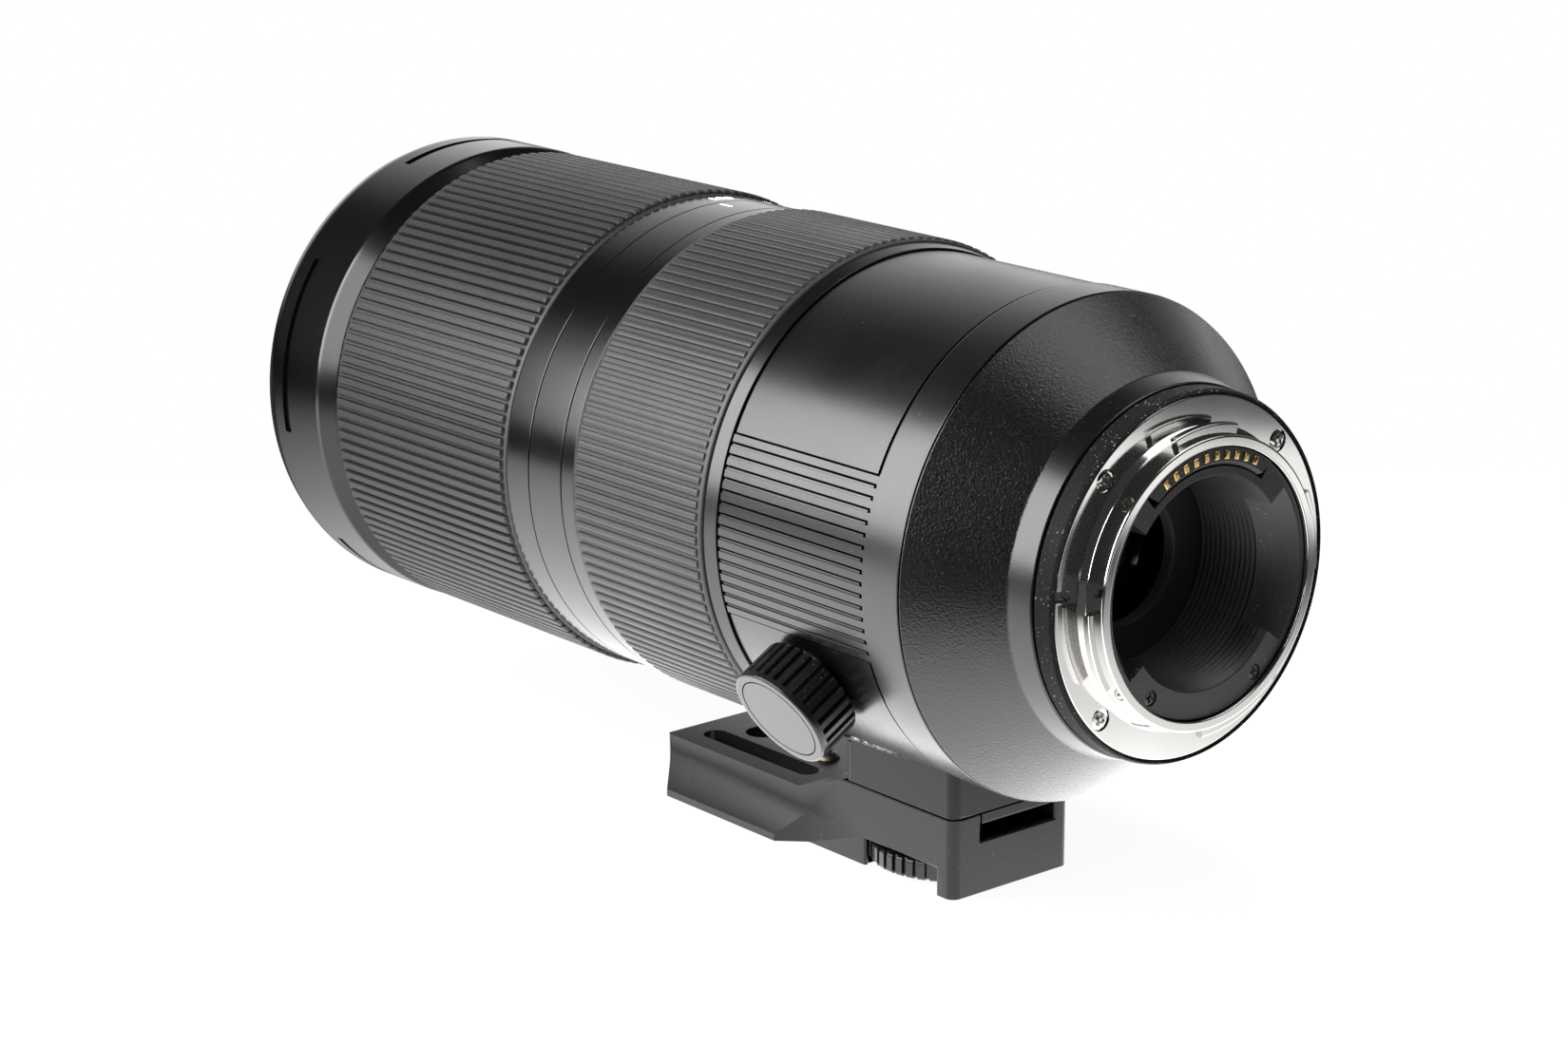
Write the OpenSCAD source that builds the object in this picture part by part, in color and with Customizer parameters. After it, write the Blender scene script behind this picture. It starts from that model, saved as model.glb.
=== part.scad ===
// Telephoto zoom lens with a rotating tripod collar, a clamp knob and a removable foot.
// The optical axis is Y. The bayonet's flange face lies at Y = 0, the front points to +Y and Z is up.
// Angles round the axis are counted in the XZ plane from +X towards +Z, so 90 is the top.

/* [Lengths along the axis] */
// Gap from the flange face to the rear edge of the rear cover
cover_gap = 3.9; // [3:0.1:6]
// Length of the rear cover's cylinder
cover_cyl_len = 4.4; // [3:0.1:8]
// Length of the rear cover's cone
cone_len = 13; // [10:0.1:20]
// Length of the tripod collar
collar_len = 43.4; // [38:0.1:55]
// Width of the collar's plain rear band
collar_band_w = 8.4; // [4:0.1:14]
// Width of the bevelled trim ring in front of the collar
trim_w = 2.5; // [1.5:0.1:4]
// Length of the focus ring
focus_len = 38.2; // [30:0.1:50]
// Width of the smooth strip in front of the focus grip
focus_strip_w = 3.4; // [2:0.1:6]
// Width of the fixed index ring
index_w = 9.1; // [6:0.1:14]
// Width of the smooth scale band of the zoom ring
scale_w = 6.2; // [4:0.1:10]
// Length of the zoom grip
zoom_grip_len = 53.2; // [45:0.1:65]
// Width of the zoom ring's front lip
zoom_lip_w = 1.5; // [1:0.1:3]
// Length of the front ring
front_ring_len = 20.9; // [17:0.1:26]

/* [Rings] */
// Outer radius of the smooth rings
ring_r = 42.7; // [42.2:0.1:46]
// Wall of the focus ring and the index ring
ring_wall = 1.3; // [1:0.1:2]
// How deep a grip is let into its ring
grip_seat = 0.6; // [0.3:0.1:0.8]
// Number of ribs round a grip
rib_count = 135; // [90:1:160]
// Height of the focus grip's ribs
focus_rib_h = 0.6; // [0.4:0.1:1.5]
// Height of the zoom grip's ribs
zoom_rib_h = 1; // [0.4:0.1:1.8]
// Width of the plain border at each end of a grip
grip_border = 1; // [0.6:0.1:3]
// Outer radius of the front ring
front_r = 43.9; // [43.2:0.1:48]
// Length of the front ring's rear bevel
front_bevel = 3.1; // [2:0.1:5]
// Radius of the filter thread
filter_r = 41; // [40:0.1:42]
// Depth of the filter thread
filter_depth = 7; // [5:0.1:9]
// Width of a hood bayonet groove
hood_slot_w = 1.8; // [1:0.1:3]
// Depth of a hood bayonet groove
hood_slot_d = 0.8; // [0.4:0.1:1.2]

/* [Zoom drive] */
// Turn of the zoom ring from the short to the long end
zoom_turn = 80; // [60:1:85]
// Room between the guide tube's end and the front cell, which leaves the front barrel's travel
guide_room = 2.2; // [1:0.1:8]
// Travel of the inner zoom carriage over that turn
carriage_travel = 16; // [8:0.5:18]
// Radius of a guide roller
roller_r = 1.75; // [1.2:0.05:2.2]
// Clearance of a roller in a straight slot
slot_clear = 0.08; // [0.05:0.01:0.2]
// Clearance of a roller in a curved slot
cam_clear = 0.15; // [0.1:0.01:0.3]
// Wall of the main barrel under the focus ring
barrel_wall = 1; // [0.8:0.1:1.5]
// Wall of the cam tube
cam_wall = 1.1; // [0.9:0.1:1.5]
// Wall of the front barrel's tube
tube_wall = 1.4; // [1:0.1:1.8]
// Wall of the guide tube
guide_wall = 1.4; // [1:0.1:2]
// Clearance between tubes that slide or turn
slide_gap = 0.3; // [0.2:0.05:0.5]
// Axial gap between neighbouring rings
ring_gap = 0.2; // [0.1:0.05:0.4]

/* [Tripod collar] */
// Step from the control rings down to the collar's band
collar_step = 0.9; // [0.2:0.1:1.3]
// Wall of the collar
collar_wall = 1.9; // [1.6:0.1:2.4]
// Running clearance of the collar on the barrel
collar_fit = 0.06; // [0.03:0.01:0.1]
// How far the smooth panels lie below the band
panel_recess = 0.4; // [0.2:0.1:0.8]
// Number of grooves in a ribbed zone
groove_count = 15; // [8:1:18]
// Width of a groove
groove_w = 0.75; // [0.4:0.05:1.2]
// Angle of the middle of the left ribbed zone
groove_mid = 176.8; // [165:0.1:180]

/* [Clamp knob] */
// Angle of the knob round the axis
knob_angle = 210.6; // [205:0.1:225]
// Distance of the knob from the flange face
knob_y = 47.8; // [43:0.1:52]
// Radius of the knob
knob_r = 9.3; // [7:0.1:10]
// Height of the knob
knob_len = 8.4; // [6:0.1:12]
// Number of flutes round the knob
flute_count = 28; // [18:1:40]
// Depth of a flute
flute_d = 0.7; // [0.4:0.1:1]
// Height of the plain rim at the knob's face
knob_rim = 1.3; // [0.9:0.1:2]
// Radius of the disc in the knob's face
cap_r = 7.8; // [5:0.1:8]
// Radius of the clamp screw
clamp_screw_r = 2; // [1.5:0.1:2.5]
// Running clearance of a screw in its hole
screw_fit = 0.05; // [0.03:0.01:0.1]
// Radius of the clamp shoe
shoe_r = 3.2; // [2.8:0.1:4]

/* [Tripod foot] */
// Width of the foot
foot_w = 26.8; // [24:0.1:36]
// Distance of the foot's rear face from the flange face
foot_y = 39.3; // [38:0.1:41]
// Length of the saddle
saddle_len = 27.6; // [26:0.1:32]
// Length of the foot
foot_len = 76.9; // [70:0.1:90]
// Height of the saddle from the foot's upper face to the collar's band
saddle_h = 6.4; // [5.2:0.1:12]
// Drop from the joint to the foot's underside
foot_h = 14; // [12.5:0.1:20]
// Drop from the joint to the top of the arm
arm_drop = 4.4; // [2:0.1:5]
// Length of the ramp from the joint down to the arm
ramp_len = 11.8; // [6:0.1:16]
// Width of a dovetail flank beyond the arm
flank_w = 4.3; // [3:0.1:5.5]
// Height of the dovetail's straight edge
flank_edge = 1.3; // [0.8:0.1:2]
// Length of the dovetail at its foot
rail_len = 30; // [24:0.1:34]
// Radius of the upright rear corners
foot_corner = 1.8; // [0.5:0.1:3]
// Radius of the thumbwheel
wheel_r = 13.9; // [13.6:0.1:14.4]
// Thickness of the thumbwheel
wheel_t = 3.5; // [2.5:0.1:4]
// Number of flutes round the thumbwheel
wheel_flutes = 40; // [24:1:60]
// Radius of the foot's clamp screw
foot_screw_r = 3; // [2:0.1:3.5]
// Radius of the tripod thread in the arm
tripod_hole_r = 3.1; // [2.5:0.1:4.8]
// Width of the slot in the arm
arm_slot_w = 4.6; // [4.4:0.1:5.5]
// Length of the slot in the arm
arm_slot_len = 30; // [16:0.1:31]

/* [Bayonet mount] */
// Outer radius of the flange
flange_r = 29.2; // [28.9:0.1:30]
// Thickness of the flange
flange_t = 2.2; // [1.8:0.1:3]
// Outer radius of the bayonet's tube
bayonet_r = 23.6; // [23:0.1:24]
// Wall of the bayonet's tube
bayonet_wall = 1.7; // [1.2:0.1:2]
// How far the bayonet's tube stands behind the flange face
bayonet_len = 4.6; // [4:0.1:6]
// Outer radius of the bayonet's tabs
tab_r = 25.3; // [24.6:0.1:25.7]
// Thickness of a tab
tab_t = 1.4; // [1:0.1:2]
// Gap between the flange face and the tabs
tab_gap = 2.1; // [1.5:0.1:2.5]
// Angle that a tab covers
tab_arc = 31; // [20:1:36]
// Radius of the circle of flange screws
screw_circle_r = 26.8; // [26:0.1:27.2]
// Radius of a flange screw's head
screw_head_r = 1.9; // [1.5:0.1:2]
// Number of contacts
contact_count = 10; // [6:1:12]
// Angle between neighbouring contacts
contact_step = 6.3; // [4:0.1:6.5]

/* [Hidden] */
$fn = 180;
eps = 0.5;

// Stations along the axis
y_cover = cover_gap;
y_cone = y_cover + cover_cyl_len;
y_cone_end = y_cone + cone_len;
y_collar = y_cone_end + ring_gap;
y_collar_end = y_collar + collar_len;
y_shoulder = y_collar_end + ring_gap;
y_trim = y_shoulder + 2 * ring_gap;
y_trim_end = y_trim + trim_w;
y_focus = y_trim_end + ring_gap;
y_focus_end = y_focus + focus_len;
y_index = y_focus_end + ring_gap;
y_index_end = y_index + index_w;
y_zoom = y_index_end + ring_gap;
y_zoom_grip = y_zoom + scale_w;
y_zoom_grip_end = y_zoom_grip + zoom_grip_len;
y_zoom_end = y_zoom_grip_end + zoom_lip_w;
y_front = y_zoom_end + slide_gap;
y_front_end = y_front + front_ring_len;

// Radii of the nested tubes, from the rings inwards
ring_ri = ring_r - ring_wall;
barrel_ro = ring_ri - slide_gap;
barrel_ri = barrel_ro - barrel_wall;
cam_ro = barrel_ri - slide_gap;
cam_ri = cam_ro - cam_wall;
tube_ro = cam_ri - slide_gap;
tube_ri = tube_ro - tube_wall;
guide_ro = tube_ri - slide_gap;
guide_ri = guide_ro - guide_wall;
seat_r = ring_r - grip_seat;
grip_skin = 0.2;
collar_r = ring_r - collar_step;
panel_r = collar_r - panel_recess;
collar_ri = collar_r - collar_wall;
rear_ro = collar_ri - collar_fit;
rear_wall = 1.8;
rear_ri = rear_ro - rear_wall;

// Mount and rear cover
bayonet_ri = bayonet_r - bayonet_wall;
neck_r = flange_r - 1.2;
neck_ri = bayonet_r + 0.4;
seal_w = 0.8;
cover_r = flange_r + 1.1;
cover_mid_r = cover_r + 0.9;
cover_wall = 1.6;
bulkhead_t = 3;
y_bulkhead = y_cone_end;
y_bulkhead_end = y_bulkhead + bulkhead_t;
board_t = 1.6;
insert_ro = bayonet_ri - 0.1;
insert_rear = -bayonet_len + 0.8;
block_rear = -bayonet_len + 0.3;
block_ri = insert_ro - 3.2;
block_arc = contact_count * contact_step + 14;
block_mid = 91.6;
contact_r = (block_ri + insert_ro) / 2 + 0.3;
contact_w = 1;
contact_len = 1.4;
contact_t = 0.3;
tab_angles = [91.6, 196.2, 285.4, 10];
screw_angles = [45, 135, 225, 315];
baffle_screw_angles = [233.2, 303.7];
baffle_screw_circle = insert_ro - 1.7;
baffle_screw_r = 0.65;

// Front cell, set back from the front rim
y_cell_front = y_front_end - filter_depth - 1;
cell_seat_r = tube_ri - 2.4;
glass_lip = 1.5;
face_steps = 16;
y_front_seat = y_cell_front - 12;
y_front_land = y_front_seat - 5;
doublet_r = cell_seat_r - 1.1;
land_r = doublet_r - glass_lip;
doublet_edge = 5;
y_cell = y_front_land - doublet_edge - 2.5;
front_edge = 3.5;
front_radius = 100;

// Zoom drive
guide_angles = [30, 150, 270];
y_cam = y_trim_end + slide_gap;
y_cam_end = y_zoom_grip_end - ring_gap;
y_carriage_roller = y_cam + roller_r + 2.5;
y_front_roller = y_carriage_roller + 11;
y_tube = y_front_roller - roller_r - 2.2;
y_tube_end = y_front + 7;
y_guide_end = y_cell - guide_room;
front_travel = y_guide_end - 3 - roller_r - y_front_roller;
key_y = y_zoom_grip + 4;
key_r = 1.2;

// Inner zoom carriage
y_carriage = y_carriage_roller - 5;
carriage_len = 16;
carriage_r = guide_ri - slide_gap;
carriage_bore = 27;
carriage_land = 24.5;

// Fixed units in the guide tube
y_iris = y_carriage + carriage_len + carriage_travel + 8;
iris_plate_t = 1.5;
iris_bore = 22;
blade_count = 9;
blade_t = 0.25;
blade_gap = 0.05;
blade_arc = 100;
iris_depth = blade_count * (blade_t + blade_gap) + blade_gap;
y_iris_end = y_iris + 2 * iris_plate_t + iris_depth;
y_stab = y_iris_end;
stab_len = 9;
stab_bore = 23;

// Focus unit
rod_r = 1.5;
rod_circle = guide_ri - 5.3;
rod_angles = [0, 180];
plate_t = 2.5;
y_plate = y_carriage - plate_t - 3.5;
y_focus_unit = y_bulkhead_end + 12;
focus_unit_len = 10;
focus_unit_r = 24.5;
focus_bore = 20;
lug_w = 7;
magnet_w = 8;
magnet_r0 = focus_unit_r + 3.5;
magnet_r1 = guide_ri - slide_gap;
coil_gap = 0.4;

// Rear cell
y_rear_glass = y_bulkhead - 4;
rear_glass_r = 17;
rear_glass_edge = 4;
y_rear_cell_end = y_rear_glass + rear_glass_edge + 9;
trap_r = 17;
trap_step = 1;
trap_d = 0.5;
mask_r = 11;
y_mask = y_rear_glass - 3.3;

// Collar, knob and foot
groove_pitch = 360 / rib_count;
zone_arc = (groove_count + 0.6) * groove_pitch;
boss_r = 6.5;
boss_top = collar_r + 0.1;
knob_base = boss_top + slide_gap;
knob_top = knob_base + knob_len;
cap_t = 0.7;
shoe_t = 0.8;
shoe_ri = rear_ro + 1.5 * slide_gap;
shoe_ro = shoe_ri + shoe_t;
foot_x = foot_w / 2;
y_saddle_end = foot_y + saddle_len;
y_foot_end = foot_y + foot_len;
joint_drop = collar_r + saddle_h;
z_joint = -joint_drop;
z_foot = z_joint - foot_h;
z_arm = z_joint - arm_drop;
channel_x0 = -foot_x + 6.4;
channel_x1 = foot_x - 3.6;
channel_floor = z_joint - 4.8;
tongue_drop = 2.1;
tongue_fit = 0.1;
wheel_y = foot_y + wheel_r + 1.4;
pocket_top = z_foot + wheel_t + 1.1;
pocket_r = wheel_r + 0.35;
wheel_z = z_foot + 0.7;
notch_y0 = foot_y + 4.2;
notch_y1 = foot_y + 22;
rail_y1 = y_foot_end - flank_w - 1.5;
rail_y0 = rail_y1 - rail_len;
saddle_screw_ys = [foot_y + 6, y_saddle_end - 5.9];
saddle_screw_r = 1.4;
saddle_head_r = 2.2;
saddle_head_t = 2.2;
tripod_hole_y = y_foot_end - 11.4;
arm_slot_x = -7.2;
arm_slot_y1 = y_foot_end - 4.7;
stop_screw_y = y_saddle_end + ramp_len + 8;
stop_screw_r = 2.2;

// Height of a spherical cap of radius big over a rim of radius r
function sag(big, r) = big - sqrt(big * big - r * r);

// Point at radius r and angle t round the axis, at station y
function polar(r, t, y) = [r * cos(t), y, r * sin(t)];

// Star-shaped outline with n lands of share land at r_top and valleys at r_root
function ribbed(n, r_root, r_top, land) =
    [for (i = [0:n - 1])
        for (k = [[-0.5 * land, r_top], [0.5 * land, r_top], [0.62 * land, r_root], [1 - 0.62 * land, r_root]])
            let (a = 360 / n * (i + k[0])) [k[1] * cos(a), k[1] * sin(a)]];

// Turns a profile of [radius, station] points round the axis
module revolve(profile) {
    rotate([-90, 0, 0]) rotate_extrude() polygon(profile);
}

// Plain tube round the axis
module tube(r_in, r_out, y0, y1) {
    revolve([[r_in, y0], [r_out, y0], [r_out, y1], [r_in, y1]]);
}

// Solid disc round the axis
module disc(r, y0, y1) {
    translate([0, y0, 0]) rotate([-90, 0, 0]) cylinder(h = y1 - y0, r = r);
}

// Turns what is built along +X to angle t round the axis
module at_angle(t) {
    rotate([0, -t, 0]) children();
}

// Part of a revolved profile, from angle t0 to angle t1
module sector(profile, t0, t1) {
    at_angle(t1) rotate([-90, 0, 0]) rotate_extrude(angle = t1 - t0) polygon(profile);
}

// Sector of a plain tube
module tube_sector(r_in, r_out, y0, y1, t0, t1) {
    sector([[r_in, y0], [r_out, y0], [r_out, y1], [r_in, y1]], t0, t1);
}

// Round pin that points away from the axis
module radial_pin(t, y, r0, r1, r) {
    at_angle(t) translate([r0, y, 0]) rotate([0, 90, 0]) cylinder(h = r1 - r0, r = r);
}

// Pin along the axis at angle t on a circle of radius circle_r
module axial_pin(t, circle_r, y0, y1, r) {
    at_angle(t) translate([circle_r, y0, 0]) rotate([-90, 0, 0]) cylinder(h = y1 - y0, r = r);
}

// Outline extruded along the axis
module along_axis(y0, y1) {
    translate([0, y0, 0]) rotate([-90, 0, 0]) linear_extrude(y1 - y0) children();
}

// Points of a glass face from the axis to radius r. A positive radius of curvature bulges by the sag at
// its seat, a negative one is hollow. The side is 1 for the front face and -1 for the rear face.
function face_points(y, r, curve, seat, side) =
    [for (i = [0:face_steps])
        let (q = r * i / face_steps, ref = curve > 0 ? seat : r)
            [q, y + side * sign(curve) * (sag(abs(curve), ref) - sag(abs(curve), q))]];

// Lens element that rests between y0 and y0 + edge, on seats that reach lip inwards from its rim
module glass(y0, edge, r, front, rear, lip = glass_lip) {
    seat = r - lip;
    rear_face = face_points(y0, r, rear, seat, -1);
    front_face = face_points(y0 + edge, r, front, seat, 1);
    revolve(concat(rear_face, [for (i = [face_steps:-1:0]) front_face[i]]));
}

// Cutter for a curved slot through the cam tube: a roller at angle t and station y runs travel forwards
// while the tube turns by zoom_turn
module cam_cut(t, y, travel) {
    steps = 18;
    r_mid = (cam_ri + cam_ro) / 2;
    arc = r_mid * zoom_turn * PI / 180;
    path = sqrt(arc * arc + travel * travel);
    half = roller_r + cam_clear;
    over = half / path;
    turn_side = half * travel / path / r_mid * 180 / PI;
    run_side = half * arc / path;
    pts = [for (i = [0:steps])
        let (u = -over + (1 + 2 * over) * i / steps, a = t - zoom_turn * u, s = y + travel * u)
            for (c = [[cam_ri - eps, -1], [cam_ro + eps, -1], [cam_ro + eps, 1], [cam_ri - eps, 1]])
                polar(c[0], a + c[1] * turn_side, s + c[1] * run_side)];
    sides = [for (i = [0:steps - 1]) for (k = [0:3])
        let (a = 4 * i + k, b = 4 * i + (k + 1) % 4)
            for (tri = [[a, b, b + 4], [a, b + 4, a + 4]]) tri];
    last = 4 * steps;
    caps = [[2, 1, 0], [3, 2, 0], [last, last + 1, last + 2], [last, last + 2, last + 3]];
    polyhedron(points = pts, faces = concat(sides, caps));
}

// Rubber sleeve between y0 and y1, with ribs that stop short of its ends
module grip(y0, y1, rib_h) {
    difference() {
        union() {
            disc(ring_r + grip_skin, y0, y1);
            along_axis(y0 + grip_border, y1 - grip_border)
                polygon(ribbed(rib_count, ring_r - grip_skin, ring_r + rib_h, 0.5));
        }
        disc(seat_r, y0 - eps, y1 + eps);
    }
}

// Front ring with the filter thread's bore and the hood's bayonet grooves
module front_ring() {
    rim = 0.9;
    y_groove = y_front_end - front_ring_len / 3;
    color("dimgray") difference() {
        revolve([[tube_ro, y_front], [ring_r - 1.2, y_front], [front_r, y_front + front_bevel],
                 [front_r, y_front_end - 2.5], [front_r - rim, y_front_end], [filter_r + 0.4, y_front_end],
                 [filter_r, y_front_end - 0.4], [filter_r, y_front_end - filter_depth],
                 [tube_ro, y_cell_front]]);
        for (mid = [88, 166, 243, 340])
            tube_sector(front_r - hood_slot_d, front_r + eps, y_groove - hood_slot_w / 2,
                        y_groove + hood_slot_w / 2, mid - 22, mid + 22);
    }
}

// Tube that slides out when the lens is zoomed
module front_barrel() {
    color("gray") difference() {
        tube(tube_ri, tube_ro, y_tube, y_tube_end);
        for (t = guide_angles)
            radial_pin(t, y_front_roller, tube_ri - eps, tube_ro + eps, roller_r);
    }
}

// Holder of the front glass
module front_cell() {
    color("darkslategray")
        revolve([[land_r, y_cell], [tube_ri, y_cell], [tube_ri, y_tube_end], [tube_ro, y_tube_end],
                 [tube_ro, y_cell_front], [cell_seat_r, y_cell_front], [cell_seat_r, y_front_seat],
                 [land_r, y_front_seat], [land_r, y_front_land], [doublet_r, y_front_land],
                 [doublet_r, y_cell + 2.5], [land_r, y_cell + 2.5]]);
}

// Threaded ring that holds the front element in its cell
module front_retainer() {
    ri = cell_seat_r - 1.4;
    y0 = y_front_seat + front_edge + sag(front_radius, land_r) - sag(front_radius, ri);
    color("black")
        revolve([[ri, y0], [cell_seat_r, y0], [cell_seat_r, y0 + 4], [cell_seat_r - 0.6, y0 + 4]]);
}

// Front glass
module front_element() {
    color("lightblue")
        glass(y_front_seat, front_edge, cell_seat_r, front_radius, 4 * front_radius, cell_seat_r - land_r);
}

// Cemented pair behind the front glass
module front_doublet() {
    color("lightblue")
        glass(y_front_land - doublet_edge, doublet_edge, doublet_r, 2.2 * front_radius, -1.5 * front_radius);
}

// Rollers that carry the front barrel in the straight and the curved slots
module front_rollers() {
    color("gold") for (t = guide_angles)
        radial_pin(t, y_front_roller, guide_ri + slide_gap, cam_ro - 0.1, roller_r);
}

// Zoom ring with its scale band
module zoom_ring() {
    color("dimgray") difference() {
        revolve([[barrel_ri, y_zoom], [ring_r, y_zoom], [ring_r, y_zoom_grip], [seat_r, y_zoom_grip],
                 [seat_r, y_zoom_grip_end], [ring_r, y_zoom_grip_end], [ring_r, y_zoom_end - 1],
                 [ring_r - 0.6, y_zoom_end], [tube_ro + slide_gap, y_zoom_end],
                 [tube_ro + slide_gap, y_zoom_grip_end], [barrel_ri, y_zoom_grip_end]]);
        for (t = guide_angles)
            radial_pin(t + 60 - zoom_turn / 2, key_y, barrel_ri - eps, seat_r + eps, key_r);
    }
}

// Rubber grip of the zoom ring
module zoom_grip() {
    color("darkgray") grip(y_zoom_grip, y_zoom_grip_end, zoom_rib_h);
}

// Screws that key the zoom ring to the cam tube
module zoom_keys() {
    color("silver") for (t = guide_angles)
        radial_pin(t + 60 - zoom_turn / 2, key_y, cam_ri + 0.1, seat_r - 0.1, key_r);
}

// Tube with the curved slots, turned by the zoom ring
module cam_tube() {
    color("goldenrod") difference() {
        tube(cam_ri, cam_ro, y_cam, y_cam_end);
        for (t = guide_angles) {
            cam_cut(t, y_front_roller, front_travel);
            cam_cut(t, y_carriage_roller, carriage_travel);
            radial_pin(t + 60 - zoom_turn / 2, key_y, cam_ri - eps, cam_ro + eps, key_r);
        }
    }
}

// Fixed ring with the zoom index
module index_ring() {
    color("dimgray") tube(barrel_ro, ring_r, y_index, y_index_end);
}

// Focus ring, free to turn without end
module focus_ring() {
    grip_end = y_focus_end - focus_strip_w;
    color("dimgray")
        revolve([[ring_ri, y_focus], [seat_r, y_focus], [seat_r, grip_end], [ring_r, grip_end],
                 [ring_r, y_focus_end], [ring_ri, y_focus_end]]);
}

// Rubber grip of the focus ring
module focus_grip() {
    color("darkgray") grip(y_focus, y_focus_end - focus_strip_w, focus_rib_h);
}

// Bevelled ring in front of the collar
module trim_ring() {
    color("gray")
        revolve([[barrel_ro, y_trim], [ring_r - 0.3, y_trim], [ring_r, y_trim + trim_w / 6],
                 [ring_r, y_trim_end], [barrel_ro, y_trim_end]]);
}

// Fixed barrel that carries the collar, the rings and the drive
module main_barrel() {
    color("slategray")
        revolve([[rear_ri, y_cone_end], [rear_ro, y_cone_end], [rear_ro, y_shoulder], [barrel_ro, y_shoulder],
                 [barrel_ro, y_index_end], [barrel_ri, y_index_end], [barrel_ri, y_trim_end],
                 [rear_ri, y_trim_end]]);
}

// Fixed inner tube with the straight slots
module guide_tube() {
    slot_y0 = y_carriage_roller - roller_r - 1;
    slot_y1 = y_front_roller + front_travel + roller_r + 1;
    half = roller_r + slot_clear;
    color("silver") difference() {
        revolve([[guide_ri, y_bulkhead_end], [rear_ri, y_bulkhead_end], [rear_ri, y_bulkhead_end + 3],
                 [guide_ro, y_bulkhead_end + 3], [guide_ro, y_guide_end], [guide_ri, y_guide_end]]);
        for (t = guide_angles)
            at_angle(t) translate([guide_ri - eps, slot_y0, -half])
                cube([guide_wall + 2 * eps, slot_y1 - slot_y0, 2 * half]);
    }
}

// Carriage of the inner zoom group
module zoom_carriage() {
    y1 = y_carriage + carriage_len;
    seat = carriage_land - glass_lip;
    color("darkslategray") difference() {
        revolve([[seat, y_carriage], [carriage_r, y_carriage], [carriage_r, y1], [carriage_bore, y1],
                 [carriage_bore, y1 - 5], [seat, y1 - 5], [seat, y1 - 7], [carriage_land, y1 - 7],
                 [carriage_land, y_carriage + 1.5], [seat, y_carriage + 1.5]]);
        for (t = guide_angles)
            radial_pin(t, y_carriage_roller, carriage_bore + 2, carriage_r + eps, roller_r);
    }
}

// Rollers of the inner zoom carriage
module zoom_rollers() {
    color("gold") for (t = guide_angles)
        radial_pin(t, y_carriage_roller, carriage_bore + 2, cam_ro - 0.1, roller_r);
}

// Hollow glass of the inner zoom group
module zoom_element() {
    color("lightblue") glass(y_carriage + carriage_len - 5, 5, carriage_bore, -240, -260);
}

// Cemented pair of the inner zoom group
module zoom_doublet() {
    color("lightblue") glass(y_carriage + 1.5, carriage_len - 8.5, carriage_land, 190, 260);
}

// Iris housing
module iris_housing() {
    y1 = y_iris + iris_plate_t;
    color("black")
        revolve([[iris_bore, y_iris], [guide_ri, y_iris], [guide_ri, y1 + iris_depth],
                 [guide_ri - 2.5, y1 + iris_depth], [guide_ri - 2.5, y1], [iris_bore, y1]]);
}

// Blades of the iris, parked wide open
module iris_blades() {
    color("gray") for (i = [0:blade_count - 1]) {
        y0 = y_iris + iris_plate_t + blade_gap + i * (blade_t + blade_gap);
        t0 = 360 / blade_count * i;
        tube_sector(iris_bore + 0.4, guide_ri - 2.8, y0, y0 + blade_t, t0, t0 + blade_arc);
    }
}

// Cover plate of the iris
module iris_cover() {
    color("dimgray") tube(iris_bore, guide_ri, y_iris_end - iris_plate_t, y_iris_end);
}

// Frame of the stabiliser
module stabiliser_frame() {
    color("darkslategray")
        revolve([[stab_bore - glass_lip, y_stab], [guide_ri, y_stab], [guide_ri, y_stab + stab_len],
                 [stab_bore, y_stab + stab_len], [stab_bore, y_stab + 2], [stab_bore - glass_lip, y_stab + 2]]);
}

// Glass of the stabiliser
module stabiliser_element() {
    color("lightblue") glass(y_stab + 2, stab_len - 4, stab_bore, 140, 140);
}

// Carriage of the focus group, with a lug for each rod
module focus_carriage() {
    y1 = y_focus_unit + focus_unit_len;
    color("darkslategray") difference() {
        union() {
            revolve([[focus_bore - glass_lip, y_focus_unit], [focus_unit_r, y_focus_unit], [focus_unit_r, y1],
                     [focus_bore, y1], [focus_bore, y_focus_unit + 2],
                     [focus_bore - glass_lip, y_focus_unit + 2]]);
            for (t = rod_angles)
                at_angle(t) translate([focus_bore + 2, y_focus_unit, -lug_w / 2])
                    cube([rod_circle - focus_bore + 1, focus_unit_len, lug_w]);
        }
        for (t = rod_angles)
            axial_pin(t, rod_circle, y_focus_unit - eps, y1 + eps, rod_r + screw_fit);
    }
}

// Focus glass
module focus_element() {
    color("lightblue") glass(y_focus_unit + 2, focus_unit_len - 4, focus_bore, -110, -95);
}

// Coil of the focus drive, on the carriage
module focus_coil() {
    color("peru") difference() {
        at_angle(90) translate([focus_unit_r - 3, y_focus_unit, -magnet_w / 2 + 0.5])
            cube([magnet_r0 - focus_unit_r + 3 - coil_gap, focus_unit_len, magnet_w - 1]);
        disc(focus_unit_r, y_focus_unit - eps, y_focus_unit + focus_unit_len + eps);
    }
}

// Rods that guide the focus carriage
module focus_rods() {
    color("silver") for (t = rod_angles)
        axial_pin(t, rod_circle, y_bulkhead_end, y_plate, rod_r);
}

// Magnet bar of the focus drive
module focus_magnet() {
    color("lightgray") intersection() {
        at_angle(90) translate([magnet_r0, y_bulkhead_end, -magnet_w / 2])
            cube([magnet_r1, y_plate - y_bulkhead_end, magnet_w]);
        disc(magnet_r1, y_bulkhead_end, y_plate);
    }
}

// Plate that holds the front ends of the rods and the magnet
module rod_plate() {
    color("dimgray") tube(focus_unit_r, guide_ri, y_plate, y_plate + plate_t);
}

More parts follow.
